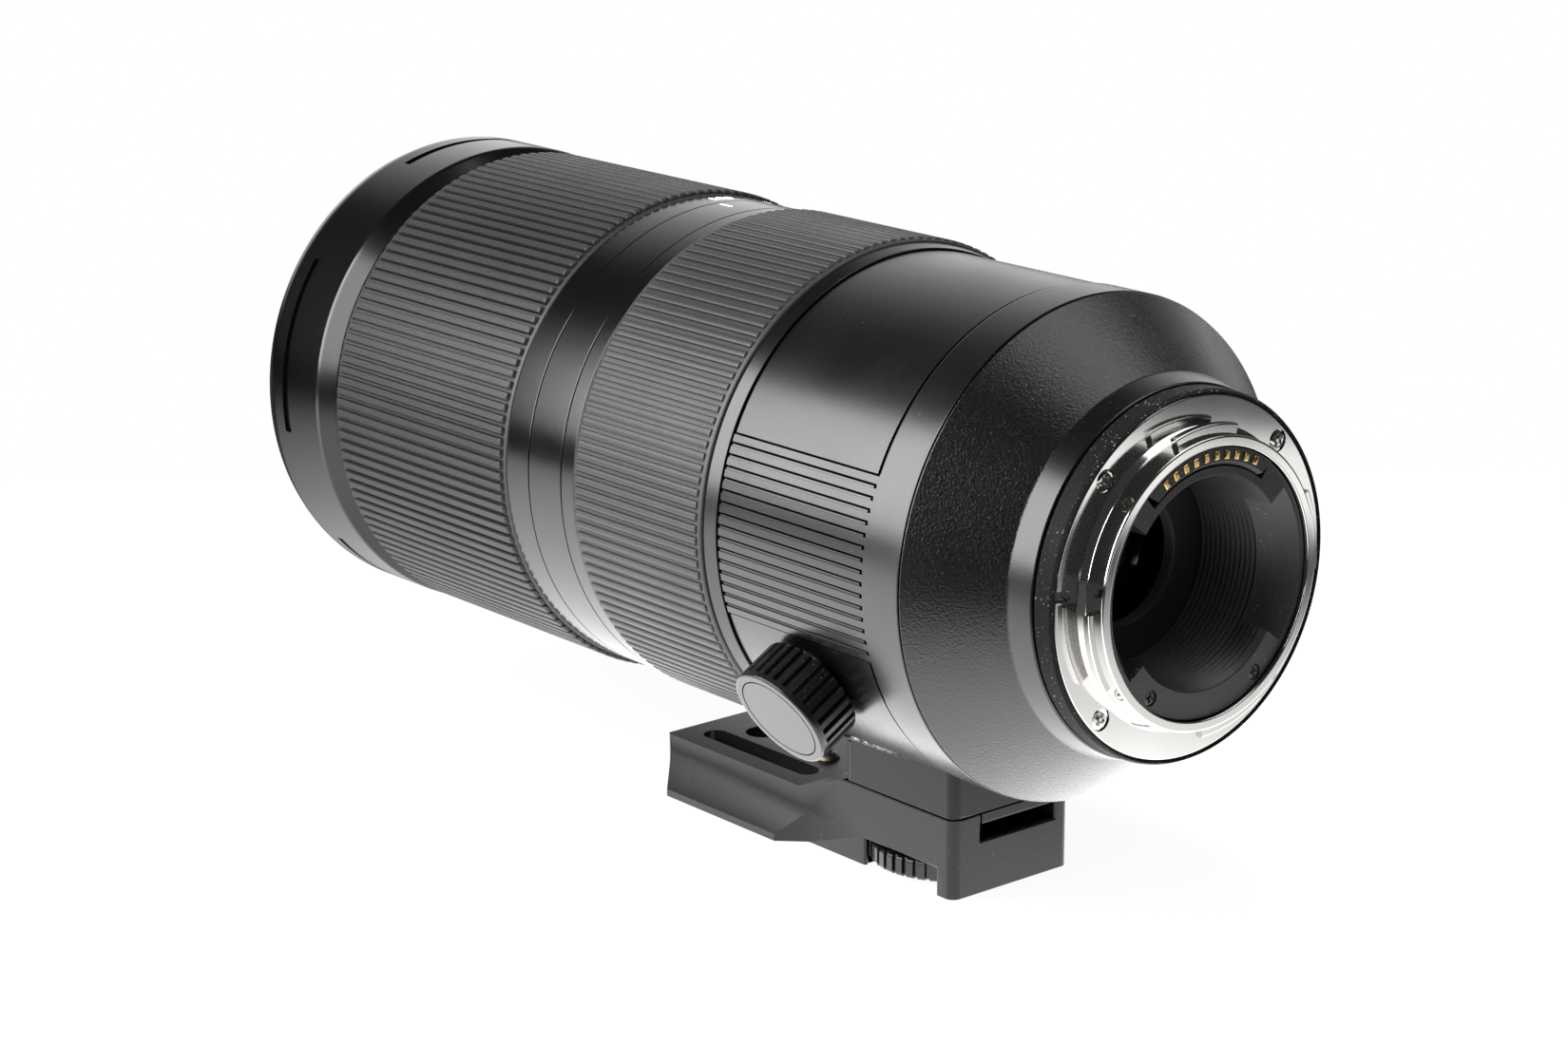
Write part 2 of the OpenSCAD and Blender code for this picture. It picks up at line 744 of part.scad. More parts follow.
// Rear cell with light-trap ridges in its throat
module rear_cell() {
    traps = floor((y_mask - flange_t - 1) / trap_step);
    ridges = [for (i = [0:traps - 1]) for (k = [0, 1])
        [trap_r - k * trap_d, y_mask - (i + 0.5 * k) * trap_step]];
    bore_step = (y_rear_glass - 1 - y_mask) / 4;
    bore = [for (i = [0:3]) for (k = [0, 1])
        [mask_r - k * trap_d, y_rear_glass - 1 - (i + 0.5 * k) * bore_step]];
    seat = rear_glass_r - glass_lip;
    color("black")
        revolve(concat([[neck_ri, flange_t], [neck_ri, y_rear_cell_end], [seat, y_rear_cell_end],
                        [seat, y_rear_cell_end - 1], [rear_glass_r, y_rear_cell_end - 1],
                        [rear_glass_r, y_rear_glass], [seat, y_rear_glass], [seat, y_rear_glass - 1]],
                       bore, [[mask_r, y_mask]], ridges, [[trap_r, flange_t]]));
}

// Rearmost glass
module rear_element() {
    color("lightblue") glass(y_rear_glass, rear_glass_edge, rear_glass_r, 120, 60);
}

// Cemented pair in front of the rearmost glass
module rear_doublet() {
    y0 = y_rear_glass + rear_glass_edge + 2.5;
    color("lightblue") glass(y0, y_rear_cell_end - 1 - y0, rear_glass_r, -130, 120);
}

// Base that joins the mount to the main barrel
module mount_base() {
    color("slategray") difference() {
        revolve([[neck_ri, flange_t], [neck_r, flange_t], [neck_r, y_bulkhead], [rear_ri, y_bulkhead],
                 [rear_ri, y_bulkhead_end], [neck_ri, y_bulkhead_end]]);
        for (t = screw_angles)
            axial_pin(t, screw_circle_r, flange_t - eps, flange_t + 5, screw_head_r / 2);
    }
}

// Ring-shaped circuit board on the base's bulkhead
module control_board() {
    color("green") tube(neck_r, rear_ri - 1, y_bulkhead - board_t, y_bulkhead);
}

// Rear cover: a short cylinder and a cone
module rear_cover() {
    color("dimgray")
        revolve([[neck_r, y_cover], [cover_r - 0.3, y_cover], [cover_r, y_cover + 0.3], [cover_mid_r, y_cone],
                 [collar_r - 0.1, y_cone_end], [rear_ri, y_cone_end], [rear_ri, y_cone_end - cover_wall],
                 [collar_r - 4 * cover_wall, y_cone_end - cover_wall], [cover_mid_r - cover_wall, y_cone + 1],
                 [cover_mid_r - cover_wall, y_cover + cover_wall], [neck_r, y_cover + cover_wall]]);
}

// Rubber seal round the flange
module dust_seal() {
    color("darkgray")
        revolve([[flange_r, 0.1], [flange_r + 0.4, -0.3], [flange_r + seal_w, 0.4],
                 [flange_r + seal_w, y_cover - ring_gap], [neck_r, y_cover - ring_gap], [neck_r, flange_t],
                 [flange_r, flange_t]]);
}

// Bayonet: flange, tube, tabs and the hole of the camera's locking pin
module mount_flange() {
    lock_angle = 175;
    lock_r = 1;
    color("lightgray") difference() {
        union() {
            revolve([[bayonet_ri, -bayonet_len], [bayonet_r, -bayonet_len], [bayonet_r, 0], [flange_r, 0],
                     [flange_r, flange_t], [bayonet_ri, flange_t]]);
            for (t = tab_angles)
                tube_sector(bayonet_r - 0.5, tab_r, -tab_gap - tab_t, -tab_gap, t - tab_arc / 2, t + tab_arc / 2);
        }
        for (t = screw_angles) {
            axial_pin(t, screw_circle_r, -eps, flange_t / 2, screw_head_r);
            axial_pin(t, screw_circle_r, 0, flange_t + eps, screw_head_r / 2);
        }
        axial_pin(lock_angle, screw_circle_r, -eps, flange_t + eps, lock_r);
        at_angle(lock_angle) translate([screw_circle_r, -eps, -lock_r])
            cube([flange_r, flange_t + 2 * eps, 2 * lock_r]);
    }
}

// Screws that hold the flange
module mount_screws() {
    color("silver") for (t = screw_angles) {
        axial_pin(t, screw_circle_r, 0.1, flange_t / 2, screw_head_r);
        axial_pin(t, screw_circle_r, flange_t / 2, flange_t + 5, screw_head_r / 2);
    }
}

// Plastic block of the electrical contacts
module contact_block() {
    color("black")
        sector([[block_ri + 0.8, block_rear], [insert_ro, block_rear], [insert_ro, 1], [block_ri, 1],
                [block_ri, block_rear + 1]], block_mid - block_arc / 2, block_mid + block_arc / 2);
}

// Spring contacts, seated on the block
module contact_pins() {
    color("gold") for (i = [0:contact_count - 1])
        at_angle(block_mid + (i - (contact_count - 1) / 2) * contact_step)
            translate([contact_r - contact_len / 2, block_rear - contact_t, -contact_w / 2])
                cube([contact_len, contact_t, contact_w]);
}

// Black baffle in the mount's throat
module rear_baffle() {
    fit = 0.1;
    flare_arc = 74;
    flare_r = insert_ro - 0.7;
    color("black") difference() {
        revolve([[trap_r + 0.6, insert_rear], [insert_ro, insert_rear], [insert_ro, flange_t], [trap_r, flange_t],
                 [trap_r, -1]]);
        tube_sector(block_ri - fit, insert_ro + eps, insert_rear - eps, 1 + fit,
                    block_mid - block_arc / 2 - 0.5, block_mid + block_arc / 2 + 0.5);
        for (t = [0, 180])
            sector([[trap_r - 2, insert_rear - eps], [flare_r, insert_rear - eps], [trap_r - 1, flange_t],
                    [trap_r - 2, flange_t]], t - flare_arc / 2, t + flare_arc / 2);
        for (t = baffle_screw_angles) {
            axial_pin(t, baffle_screw_circle, insert_rear - eps, insert_rear + 1, 2 * baffle_screw_r);
            axial_pin(t, baffle_screw_circle, insert_rear, flange_t + eps, baffle_screw_r);
        }
    }
}

// Screws that hold the baffle
module baffle_screws() {
    color("dimgray") for (t = baffle_screw_angles) {
        axial_pin(t, baffle_screw_circle, insert_rear + 0.2, insert_rear + 1, 2 * baffle_screw_r);
        axial_pin(t, baffle_screw_circle, insert_rear + 1, flange_t, baffle_screw_r);
    }
}

// Cutter for a smooth panel of the collar from angle t0 to angle t1
module panel_cut(t0, t1) {
    tube_sector(panel_r, collar_r + eps, y_collar + collar_band_w, y_collar_end + eps, t0, t1);
}

// Cutter for the grooves of the zone round angle mid
module zone_grooves(mid) {
    for (i = [0:groove_count - 1])
        at_angle(mid + (i - (groove_count - 1) / 2) * groove_pitch)
            translate([panel_r, y_collar + collar_band_w, -groove_w / 2])
                cube([panel_recess + eps, collar_len, groove_w]);
}

// Tripod collar with its band, panels, ribs and the boss of the clamp screw
module tripod_collar() {
    color("dimgray") difference() {
        union() {
            difference() {
                tube(collar_ri, collar_r, y_collar, y_collar_end);
                panel_cut(180 - groove_mid + zone_arc / 2, groove_mid - zone_arc / 2);
                panel_cut(groove_mid + zone_arc / 2, 540 - groove_mid - zone_arc / 2);
            }
            radial_pin(knob_angle, knob_y, panel_r - 0.9, boss_top, boss_r);
        }
        for (mid = [groove_mid, 180 - groove_mid]) zone_grooves(mid);
        radial_pin(knob_angle, knob_y, collar_ri - eps, boss_top + eps, clamp_screw_r + screw_fit);
        radial_pin(knob_angle, knob_y, collar_ri - 2, shoe_ro + 0.1, shoe_r + screw_fit);
        for (y = saddle_screw_ys)
            radial_pin(270, y, collar_ri - eps, panel_r + eps, saddle_screw_r);
    }
}

// Fluted clamp knob
module clamp_knob() {
    y_rim = knob_len - knob_rim;
    color("black") at_angle(knob_angle) translate([knob_base, knob_y, 0]) rotate([0, 90, 0]) difference() {
        union() {
            intersection() {
                linear_extrude(y_rim + eps) polygon(ribbed(flute_count, knob_r - flute_d, knob_r - 0.1, 0.5));
                rotate_extrude() polygon([[0, 0], [knob_r - 0.6, 0], [knob_r, 0.6], [knob_r, y_rim + eps],
                                          [0, y_rim + eps]]);
            }
            rotate_extrude() polygon([[0, y_rim], [knob_r, y_rim], [knob_r, knob_len - 0.5],
                                      [knob_r - 0.5, knob_len], [0, knob_len]]);
        }
        translate([0, 0, knob_len - cap_t]) cylinder(h = cap_t + eps, r = cap_r);
        translate([0, 0, -eps]) cylinder(h = knob_len, r = clamp_screw_r);
    }
}

// Disc in the knob's face
module knob_cap() {
    color("gray") radial_pin(knob_angle, knob_y, knob_top - cap_t, knob_top, cap_r - 0.1);
}

// Clamp screw, fixed in the knob
module clamp_screw() {
    color("silver") radial_pin(knob_angle, knob_y, shoe_ro + 0.05, knob_top - cap_t - eps, clamp_screw_r);
}

// Shoe that the clamp screw presses against the barrel
module clamp_shoe() {
    color("peru") difference() {
        radial_pin(knob_angle, knob_y, shoe_ri - 1, shoe_ro, shoe_r);
        disc(shoe_ri, knob_y - 2 * shoe_r, knob_y + 2 * shoe_r);
    }
}

// Rectangle with round corners, from [x0, y0] to [x1, y1]
module round_rect(x0, y0, x1, y1, r) {
    translate([x0 + r, y0]) square([x1 - x0 - 2 * r, y1 - y0]);
    translate([x0, y0 + r]) square([x1 - x0, y1 - y0 - 2 * r]);
    for (x = [x0 + r, x1 - r], y = [y0 + r, y1 - r])
        translate([x, y]) circle(r = r);
}

// Block under the collar that the foot is clamped to, with a tongue along its underside
module foot_saddle() {
    color("gray") difference() {
        union() {
            translate([0, 0, z_joint]) linear_extrude(joint_drop)
                round_rect(-foot_x, foot_y, foot_x, y_saddle_end, foot_corner);
            translate([channel_x0 + tongue_fit, foot_y, z_joint - tongue_drop])
                cube([channel_x1 - channel_x0 - 2 * tongue_fit, saddle_len - 3, tongue_drop + 1]);
        }
        disc(panel_r, foot_y - eps, y_collar_end);
        disc(ring_r + 0.5, y_collar_end, y_saddle_end + eps);
        translate([0, wheel_y, z_joint - 3]) cylinder(h = 6.5, r = foot_screw_r + screw_fit);
        for (y = saddle_screw_ys) {
            translate([0, y, z_joint - 3]) cylinder(h = 3 + saddle_head_t, r = saddle_head_r);
            translate([0, y, z_joint]) cylinder(h = joint_drop - collar_ri, r = saddle_screw_r);
        }
    }
}

// Screws between the saddle and the collar
module saddle_screws() {
    color("silver") for (y = saddle_screw_ys) {
        translate([0, y, z_joint]) cylinder(h = saddle_head_t, r = saddle_head_r);
        translate([0, y, z_joint + saddle_head_t])
            cylinder(h = joint_drop - saddle_head_t - collar_ri - 0.3, r = saddle_screw_r);
    }
}

// Dovetail rail under the arm, with its corners cut back in plan
module foot_rail() {
    half = foot_x + flank_w;
    z0 = z_foot + flank_edge;
    intersection() {
        translate([0, foot_y, 0]) rotate([90, 0, 180]) linear_extrude(foot_len)
            polygon([[-half, z_foot], [half, z_foot], [half, z0], [foot_x, z0 + flank_w],
                     [-foot_x, z0 + flank_w], [-half, z0]]);
        translate([0, 0, z_foot]) linear_extrude(foot_h)
            polygon([[-foot_x, rail_y0 - flank_w], [foot_x, rail_y0 - flank_w], [half, rail_y0], [half, rail_y1],
                     [foot_x, rail_y1 + flank_w], [-foot_x, rail_y1 + flank_w], [-half, rail_y1],
                     [-half, rail_y0]]);
    }
}

// Foot: the clamped block, the ramp, the arm with its dovetail, and the thumbwheel's pocket
module tripod_foot() {
    chamfer = 0.6;
    color("dimgray") difference() {
        union() {
            intersection() {
                translate([-foot_x, 0, 0]) rotate([90, 0, 90]) linear_extrude(foot_w)
                    polygon([[foot_y, z_foot], [y_foot_end, z_foot], [y_foot_end, z_arm - chamfer],
                             [y_foot_end - chamfer, z_arm], [y_saddle_end + ramp_len, z_arm],
                             [y_saddle_end, z_joint], [foot_y, z_joint]]);
                translate([0, 0, z_foot]) linear_extrude(foot_h)
                    round_rect(-foot_x, foot_y, foot_x, y_foot_end, foot_corner);
            }
            foot_rail();
        }
        translate([channel_x0, foot_y - eps, channel_floor])
            cube([channel_x1 - channel_x0, saddle_len - 3 + eps + tongue_fit, z_joint - channel_floor + eps]);
        translate([0, wheel_y, z_foot - eps]) cylinder(h = pocket_top - z_foot + eps, r = pocket_r);
        translate([-foot_w, notch_y0, z_foot - eps])
            cube([2 * foot_w, notch_y1 - notch_y0, pocket_top - z_foot + eps]);
        translate([0, wheel_y, z_foot]) cylinder(h = foot_h, r = foot_screw_r + screw_fit);
        translate([0, tripod_hole_y, z_foot - eps]) cylinder(h = foot_h, r = tripod_hole_r);
        translate([0, 0, z_foot - eps]) linear_extrude(foot_h)
            round_rect(arm_slot_x - arm_slot_w / 2, arm_slot_y1 - arm_slot_len, arm_slot_x + arm_slot_w / 2,
                       arm_slot_y1, arm_slot_w / 2 - 0.01);
        translate([0, stop_screw_y, z_arm - 5]) cylinder(h = 5 + eps, r = stop_screw_r);
    }
}

// Fluted thumbwheel in the foot
module foot_thumbwheel() {
    color("black") translate([0, wheel_y, wheel_z]) difference() {
        intersection() {
            linear_extrude(wheel_t) polygon(ribbed(wheel_flutes, wheel_r - 0.6, wheel_r, 0.6));
            rotate_extrude()
                polygon([[0, 0], [wheel_r - 0.6, 0], [wheel_r + 0.1, 0.7], [wheel_r + 0.1, wheel_t - 0.7],
                         [wheel_r - 0.6, wheel_t], [0, wheel_t]]);
        }
        translate([0, 0, -eps]) cylinder(h = wheel_t + 2 * eps, r = foot_screw_r);
    }
}

// Screw of the thumbwheel, into the saddle
module foot_screw() {
    color("silver") translate([0, wheel_y, wheel_z]) cylinder(h = z_joint + 3 - wheel_z, r = foot_screw_r);
}

// Stop screw in the arm's top
module stop_screw() {
    color("goldenrod") translate([0, stop_screw_y, z_arm - 5]) cylinder(h = 6.2, r = stop_screw_r);
}

front_ring();
front_barrel();
front_cell();
front_retainer();
front_element();
front_doublet();
front_rollers();
zoom_ring();
zoom_grip();
zoom_keys();
cam_tube();
index_ring();
focus_ring();
focus_grip();
trim_ring();
main_barrel();
guide_tube();
zoom_carriage();
zoom_rollers();
zoom_element();
zoom_doublet();
iris_housing();
iris_blades();
iris_cover();
stabiliser_frame();
stabiliser_element();
focus_carriage();
focus_element();
focus_coil();
focus_rods();
focus_magnet();
rod_plate();
rear_cell();
rear_element();
rear_doublet();
mount_base();
control_board();
rear_cover();
dust_seal();
mount_flange();
mount_screws();
contact_block();
contact_pins();
rear_baffle();
baffle_screws();
tripod_collar();
clamp_knob();
knob_cap();
clamp_screw();
clamp_shoe();
foot_saddle();
saddle_screws();
tripod_foot();
foot_thumbwheel();
foot_screw();
stop_screw();
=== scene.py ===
"""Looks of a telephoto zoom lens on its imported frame.

The optical axis is Y with the bayonet's flange face at 0, and Z is up. Sizes in the classes are in
millimetres; angles round the axis run in the XZ plane from +X towards +Z, so 90 degrees is the top.
"""

import logging
import math
from collections.abc import Callable
from dataclasses import dataclass, replace
from enum import Enum

import bmesh
import bpy
import numpy as np
from mathutils import Matrix


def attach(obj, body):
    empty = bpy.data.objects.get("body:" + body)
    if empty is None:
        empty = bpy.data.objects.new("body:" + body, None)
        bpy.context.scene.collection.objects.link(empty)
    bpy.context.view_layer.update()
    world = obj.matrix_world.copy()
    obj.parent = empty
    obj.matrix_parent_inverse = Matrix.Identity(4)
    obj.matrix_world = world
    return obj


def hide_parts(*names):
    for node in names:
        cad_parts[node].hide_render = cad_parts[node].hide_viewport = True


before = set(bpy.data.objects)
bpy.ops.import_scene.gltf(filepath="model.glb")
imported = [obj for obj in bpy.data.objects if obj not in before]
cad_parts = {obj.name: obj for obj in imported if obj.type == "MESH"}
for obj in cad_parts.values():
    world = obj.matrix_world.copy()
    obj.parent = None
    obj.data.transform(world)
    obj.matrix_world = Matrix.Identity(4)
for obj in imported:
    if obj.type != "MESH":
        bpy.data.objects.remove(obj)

Array = np.ndarray
Point = tuple[float, float, float]
Corners = list[tuple[float, float]]
Piece = bpy.types.Object
Socket = bpy.types.NodeSocket
MM = 0.001
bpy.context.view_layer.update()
LOG = logging.getLogger("zoom_lens")
TURN = np.linspace(0.0, 2.0 * np.pi, 320, endpoint=False)
AXIS = np.array([0.0, 1.0, 0.0])
SHARP_DEG = 34.0
HAIR = 0.01
PAINT_RISE = 0.03


class Body(Enum):
    """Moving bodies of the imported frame."""

    BARREL = "barrel"
    ZOOM = "zoom_control"
    FRONT = "front_group"
    FOCUS = "focus_control"
    COLLAR = "collar"
    KNOB = "knob"
    FOOT_CLAMP = "foot_clamp"


class Pattern(Enum):
    """Fine structure of a surface: its noise's detail, and the range of that noise spread from 0 to 1."""

    BLASTED = (2.0, 0.25, 0.75)
    SAND = (3.0, 0.34, 0.66)
    TURNED = (2.0, 0.3, 0.7)


class Blend(Enum):
    """What a mix node blends: its data type, its first input and its output."""

    COLOR = ("RGBA", 6, 2)
    NUMBER = ("FLOAT", 2, 0)


def grey(level: float) -> Point:
    """Returns a neutral colour."""
    return (level, level, level)


class NodeSheet:
    """A node tree and short calls that add to it."""

    def __init__(self, tree: bpy.types.NodeTree, coordinates: str = "Object") -> None:
        """Takes the tree and the name of the coordinates that its patterns lie in."""
        self.tree = tree
        self.place = self.add("ShaderNodeTexCoord").outputs[coordinates]

    def feed(self, target: Socket, value: Socket | float | Point) -> None:
        """Gives an input its value.

        Args:
            target: the input.
            value: a socket to link, or a constant for the input itself.
        """
        if isinstance(value, Socket):
            self.tree.links.new(value, target)
        else:
            target.default_value = (*value, 1.0) if target.type == "RGBA" else value

    def add(self, kind: str, **settings: object) -> bpy.types.Node:
        """Adds a node.

        Args:
            kind: Blender's name of the node type.
            settings: values by input, with spaces written as underscores, or else by property.

        Returns:
            The new node.
        """
        node = self.tree.nodes.new(kind)
        for key, value in settings.items():
            label = key.replace("_", " ")
            if label in node.inputs:
                self.feed(node.inputs[label], value)
            else:
                setattr(node, key, value)
        return node

    def compute(self, operation: str, first: Socket, second: Socket | float = 0.0) -> Socket:
        """Applies an operation to two numbers.

        Args:
            operation: Blender's name of it.
            first: first number.
            second: second number.

        Returns:
            The result.
        """
        node = self.add("ShaderNodeMath", operation=operation)
        self.feed(node.inputs[0], first)
        self.feed(node.inputs[1], second)
        return node.outputs[0]

    def noise(self, size_mm: float, detail: float = 2.0) -> Socket:
        """Returns noise whose lumps are about size_mm wide."""
        node = self.add("ShaderNodeTexNoise", Scale=1.0 / (size_mm * MM), Detail=detail, Vector=self.place)
        return node.outputs["Fac"]

    def ramp(self, source: Socket, low: float, high: float, out: tuple[float, float] = (0.0, 1.0)) -> Socket:
        """Returns source mapped from low..high to out, clamped."""
        span = {"From_Min": low, "From_Max": high, "To_Min": out[0], "To_Max": out[1]}
        return self.add("ShaderNodeMapRange", Value=source, **span).outputs["Result"]

    def blend(self, share: Socket, first: Socket | Point, second: Point | float,
              kind: Blend = Blend.COLOR) -> Socket:
        """Blends two colours or numbers.

        Args:
            share: share of the second, from 0 to 1.
            first: first value.
            second: second value.
            kind: what is blended.

        Returns:
            The blend.
        """
        data_type, start, output = kind.value
        node = self.add("ShaderNodeMix", data_type=data_type)
        for spot, value in ((0, share), (start, first), (start + 1, second)):
            self.feed(node.inputs[spot], value)
        return node.outputs[output]

    def along(self, direction: Point) -> Socket:
        """Measures the place along a direction, as their dot product.

        Args:
            direction: unit vector.

        Returns:
            The distance, in the coordinates' own unit.
        """
        node = self.add("ShaderNodeVectorMath", operation="DOT_PRODUCT", Vector=self.place)
        self.feed(node.inputs[1], direction)
        return node.outputs["Value"]

    def ray(self, kind: str) -> Socket:
        """Returns 1 for rays of a kind and 0 for others."""
        return self.add("ShaderNodeLightPath").outputs[kind]


class ShaderSheet(NodeSheet):
    """The nodes of one material with a Principled shader."""

    def __init__(self, name: str) -> None:
        """Starts the material."""
        self.material = bpy.data.materials.new(name)
        self.material.use_nodes = True
        super().__init__(self.material.node_tree)
        self.surface = self.tree.nodes["Principled BSDF"]

    def set(self, **values: Socket | float | Point) -> None:
        """Feeds the shader's inputs, with spaces in their names written as underscores."""
        for key, value in values.items():
            self.feed(self.surface.inputs[key.replace("_", " ")], value)

    def bump(self, height: Socket, depth_mm: float) -> None:
        """Bends the shading normal by a height of depth_mm."""
        node = self.add("ShaderNodeBump", Strength=1.0, Distance=depth_mm * MM, Height=height)
        self.set(Normal=node.outputs["Normal"])


@dataclass(frozen=True)
class Finish:
    """A named finish whose material is made once."""

    name: str
    color: Point

    def material(self) -> bpy.types.Material:
        """Returns the material, made at the first call."""
        made = bpy.data.materials.get(self.name)
        return made if made else self.make().material

    def make(self) -> ShaderSheet:
        """Starts the material; each kind of finish adds to it."""
        return ShaderSheet(self.name)


@dataclass(frozen=True)
class Coating(Finish):
    """Painted, anodised, moulded or plated surface with grain, dust and uneven gloss."""

    roughness: float
    metallic: float = 0.0
    specular: float = 0.5
    pattern: Pattern = Pattern.BLASTED
    grain_mm: float = 0.12
    grain_depth_mm: float = 0.004
    tone: float = 0.25
    dust: float = 0.0
    dust_color: Point = (0.25, 0.25, 0.24)
    dust_mm: float = 0.35
    speck: tuple[float, float] = (0.72, 0.78)
    patch_mm: float = 9.0
    cloud_mm: float = 14.0
    cloud: float = 0.08
    stretch: float = 40.0

    def make(self) -> ShaderSheet:
        """Builds the nodes: tone and dust in the colour, cloudy roughness and grain as bump.

        Returns:
            The sheet that holds the material.
        """
        sheet = super().make()
        grain = self.grain(sheet)
        dark, light = (tuple(c * (1.0 + side * self.tone) for c in self.color) for side in (-1.0, 1.0))
        base = sheet.blend(grain, dark, light)
        if self.dust > 0.0:
            low, high = (level - 0.1 * self.dust for level in self.speck)
            specks = sheet.ramp(sheet.noise(self.dust_mm, 1.0), low, high)
            patches = sheet.ramp(sheet.noise(self.patch_mm), 0.42, 0.62, (0.15, 1.0))
            base = sheet.blend(sheet.compute("MULTIPLY", specks, patches), base, self.dust_color)
        gloss = (self.roughness * (1.0 - self.cloud), self.roughness * (1.0 + self.cloud))
        cloud = sheet.ramp(sheet.noise(self.cloud_mm), 0.3, 0.7, gloss)
        sheet.set(Base_Color=base, Metallic=self.metallic, Roughness=cloud, Specular_IOR_Level=self.specular)
        sheet.bump(grain, self.grain_depth_mm)
        return sheet

    def grain(self, sheet: ShaderSheet) -> Socket:
        """Makes the fine structure from noise, which a turned surface draws out round the axis.

        Args:
            sheet: material that the nodes go into.

        Returns:
            The structure's height, from 0 to 1.
        """
        detail, low, high = self.pattern.value
        if self.pattern is Pattern.TURNED:
            scale = (self.stretch, 1.0 / (self.grain_mm * MM), self.stretch)
            spot = sheet.add("ShaderNodeMapping", Scale=scale, Vector=sheet.place).outputs["Vector"]
            noise = sheet.add("ShaderNodeTexNoise", Scale=1.0, Detail=detail, Vector=spot).outputs["Fac"]
        else:
            noise = sheet.noise(self.grain_mm, detail)
        return sheet.ramp(noise, low, high)


@dataclass(frozen=True)
class WornPaint(Coating):
    """Paint scraped to bare metal along the saddle's upper edge, with a dark seam between saddle and foot."""

    edge_r: float = 41.9
    edge_w: float = 0.9
    wear_y: tuple[float, float] = (50.0, 66.0)
    scrape_mm: float = 0.9
    bare: Point = (0.62, 0.62, 0.6)
    seam_z: float = -48.2
    seam_w: tuple[float, float] = (0.13, 0.2)

    def make(self) -> ShaderSheet:
        """Adds the scraped band, found by its distance from the axis, and the seam, found by its height.

        Returns:
            The sheet that holds the material.
        """
        sheet = super().make()
        x, y, z = sheet.add("ShaderNodeSeparateXYZ", Vector=sheet.place).outputs
        flat = sheet.add("ShaderNodeCombineXYZ", X=x, Z=z).outputs[0]
        reach = sheet.add("ShaderNodeVectorMath", operation="LENGTH", Vector=flat).outputs["Value"]
        near = sheet.ramp(reach, (self.edge_r + self.edge_w) * MM, self.edge_r * MM)
        run = sheet.ramp(y, *(station * MM for station in self.wear_y))
        rough = sheet.ramp(sheet.noise(self.scrape_mm, 4.0), 0.36, 0.6)
        scraped = sheet.compute("MULTIPLY", sheet.compute("MULTIPLY", near, rough), run)
        paint = sheet.surface.inputs["Base Color"].links[0].from_socket
        gap = sheet.compute("ABSOLUTE", sheet.compute("SUBTRACT", z, self.seam_z * MM))
        inner, outer = (w * MM for w in self.seam_w)
        seam = sheet.ramp(gap, inner, outer, (1.0, 0.0))
        color = sheet.blend(seam, sheet.blend(scraped, paint, self.bare), grey(0.0))
        shine = sheet.ramp(gap, inner, outer, (0.0, self.specular))
        sheet.set(Base_Color=color, Metallic=scraped, Specular_IOR_Level=shine)
        return sheet


@dataclass(frozen=True)
class OpticalGlass(Finish):
    """Clear glass with a faint coated tint."""

    ior: float = 1.52
    roughness: float = 0.02
    specular: float = 0.12
    tint_mm: float = 25.0

    def make(self) -> ShaderSheet:
        """Builds the nodes: full transmission, with a tint that varies a little.

        Returns:
            The sheet that holds the material.
        """
        sheet = super().make()
        tint = sheet.ramp(sheet.noise(self.tint_mm), 0.3, 0.7)
        color = sheet.blend(tint, self.color, tuple(0.96 * c for c in self.color))
        sheet.set(Base_Color=color, Transmission_Weight=1.0, IOR=self.ior, Roughness=self.roughness,
                  Specular_IOR_Level=self.specular)
        return sheet


SATIN_BLACK = Coating("satin_black_anodised", (0.0012, 0.0012, 0.0013), 0.25, grain_mm=0.16,
                      grain_depth_mm=0.003, dust=0.02, dust_color=grey(0.04))
COLLAR_BLACK = replace(SATIN_BLACK, name="collar_black_anodised", color=(0.001, 0.001, 0.0011),
                       roughness=0.26, grain_depth_mm=0.004)
# Near-black finish without reflections for the collar's sunk lines: the slits are real geometry, and their
# darkness is painted shade.
PAINTED_LINE_SHADE = Coating("painted_line_shade", grey(0.0006), 0.7, specular=0.02)
GLOSS_BLACK = Coating("gloss_black_anodised", (0.0008, 0.0008, 0.0009), 0.18, grain_mm=0.1,
                      grain_depth_mm=0.001)
CHAMFER_BLACK = replace(GLOSS_BLACK, name="chamfer_black_anodised", roughness=0.2, specular=0.3)
SAND_BLACK = Coating("sand_textured_black", (0.002, 0.002, 0.0021), 0.24, pattern=Pattern.SAND, grain_mm=0.4,
                     grain_depth_mm=0.03, tone=0.45, dust=0.02, dust_color=grey(0.05))
GRIP_RUBBER = Coating("ribbed_grip_rubber", (0.007, 0.0072, 0.0072), 0.5, specular=0.4, grain_mm=0.25,
                      grain_depth_mm=0.006, tone=0.12, dust=0.1, dust_color=(0.06, 0.06, 0.058))
FOCUS_RUBBER = replace(GRIP_RUBBER, name="focus_grip_rubber", color=(0.008, 0.0082, 0.0082), specular=0.5)
SEAL_RUBBER = Coating("dusty_seal_rubber", grey(0.004), 0.5, specular=0.05, grain_mm=0.3, dust=0.35)
KNOB_BLACK = Coating("knob_satin_black", grey(0.003), 0.26, specular=0.3, grain_mm=0.15, dust=0.05,
                     dust_color=grey(0.06))
DISC_BLACK = replace(KNOB_BLACK, name="knob_disc_black", color=grey(0.006), roughness=0.3)
FOOT_PAINT = WornPaint("foot_black_paint", (0.004, 0.004, 0.0041), 0.3, specular=0.2, grain_mm=0.2, tone=0.12,
                       dust=0.05, dust_color=grey(0.06))
SADDLE_PAINT = replace(FOOT_PAINT, name="saddle_black_paint", roughness=0.32, specular=0.16)
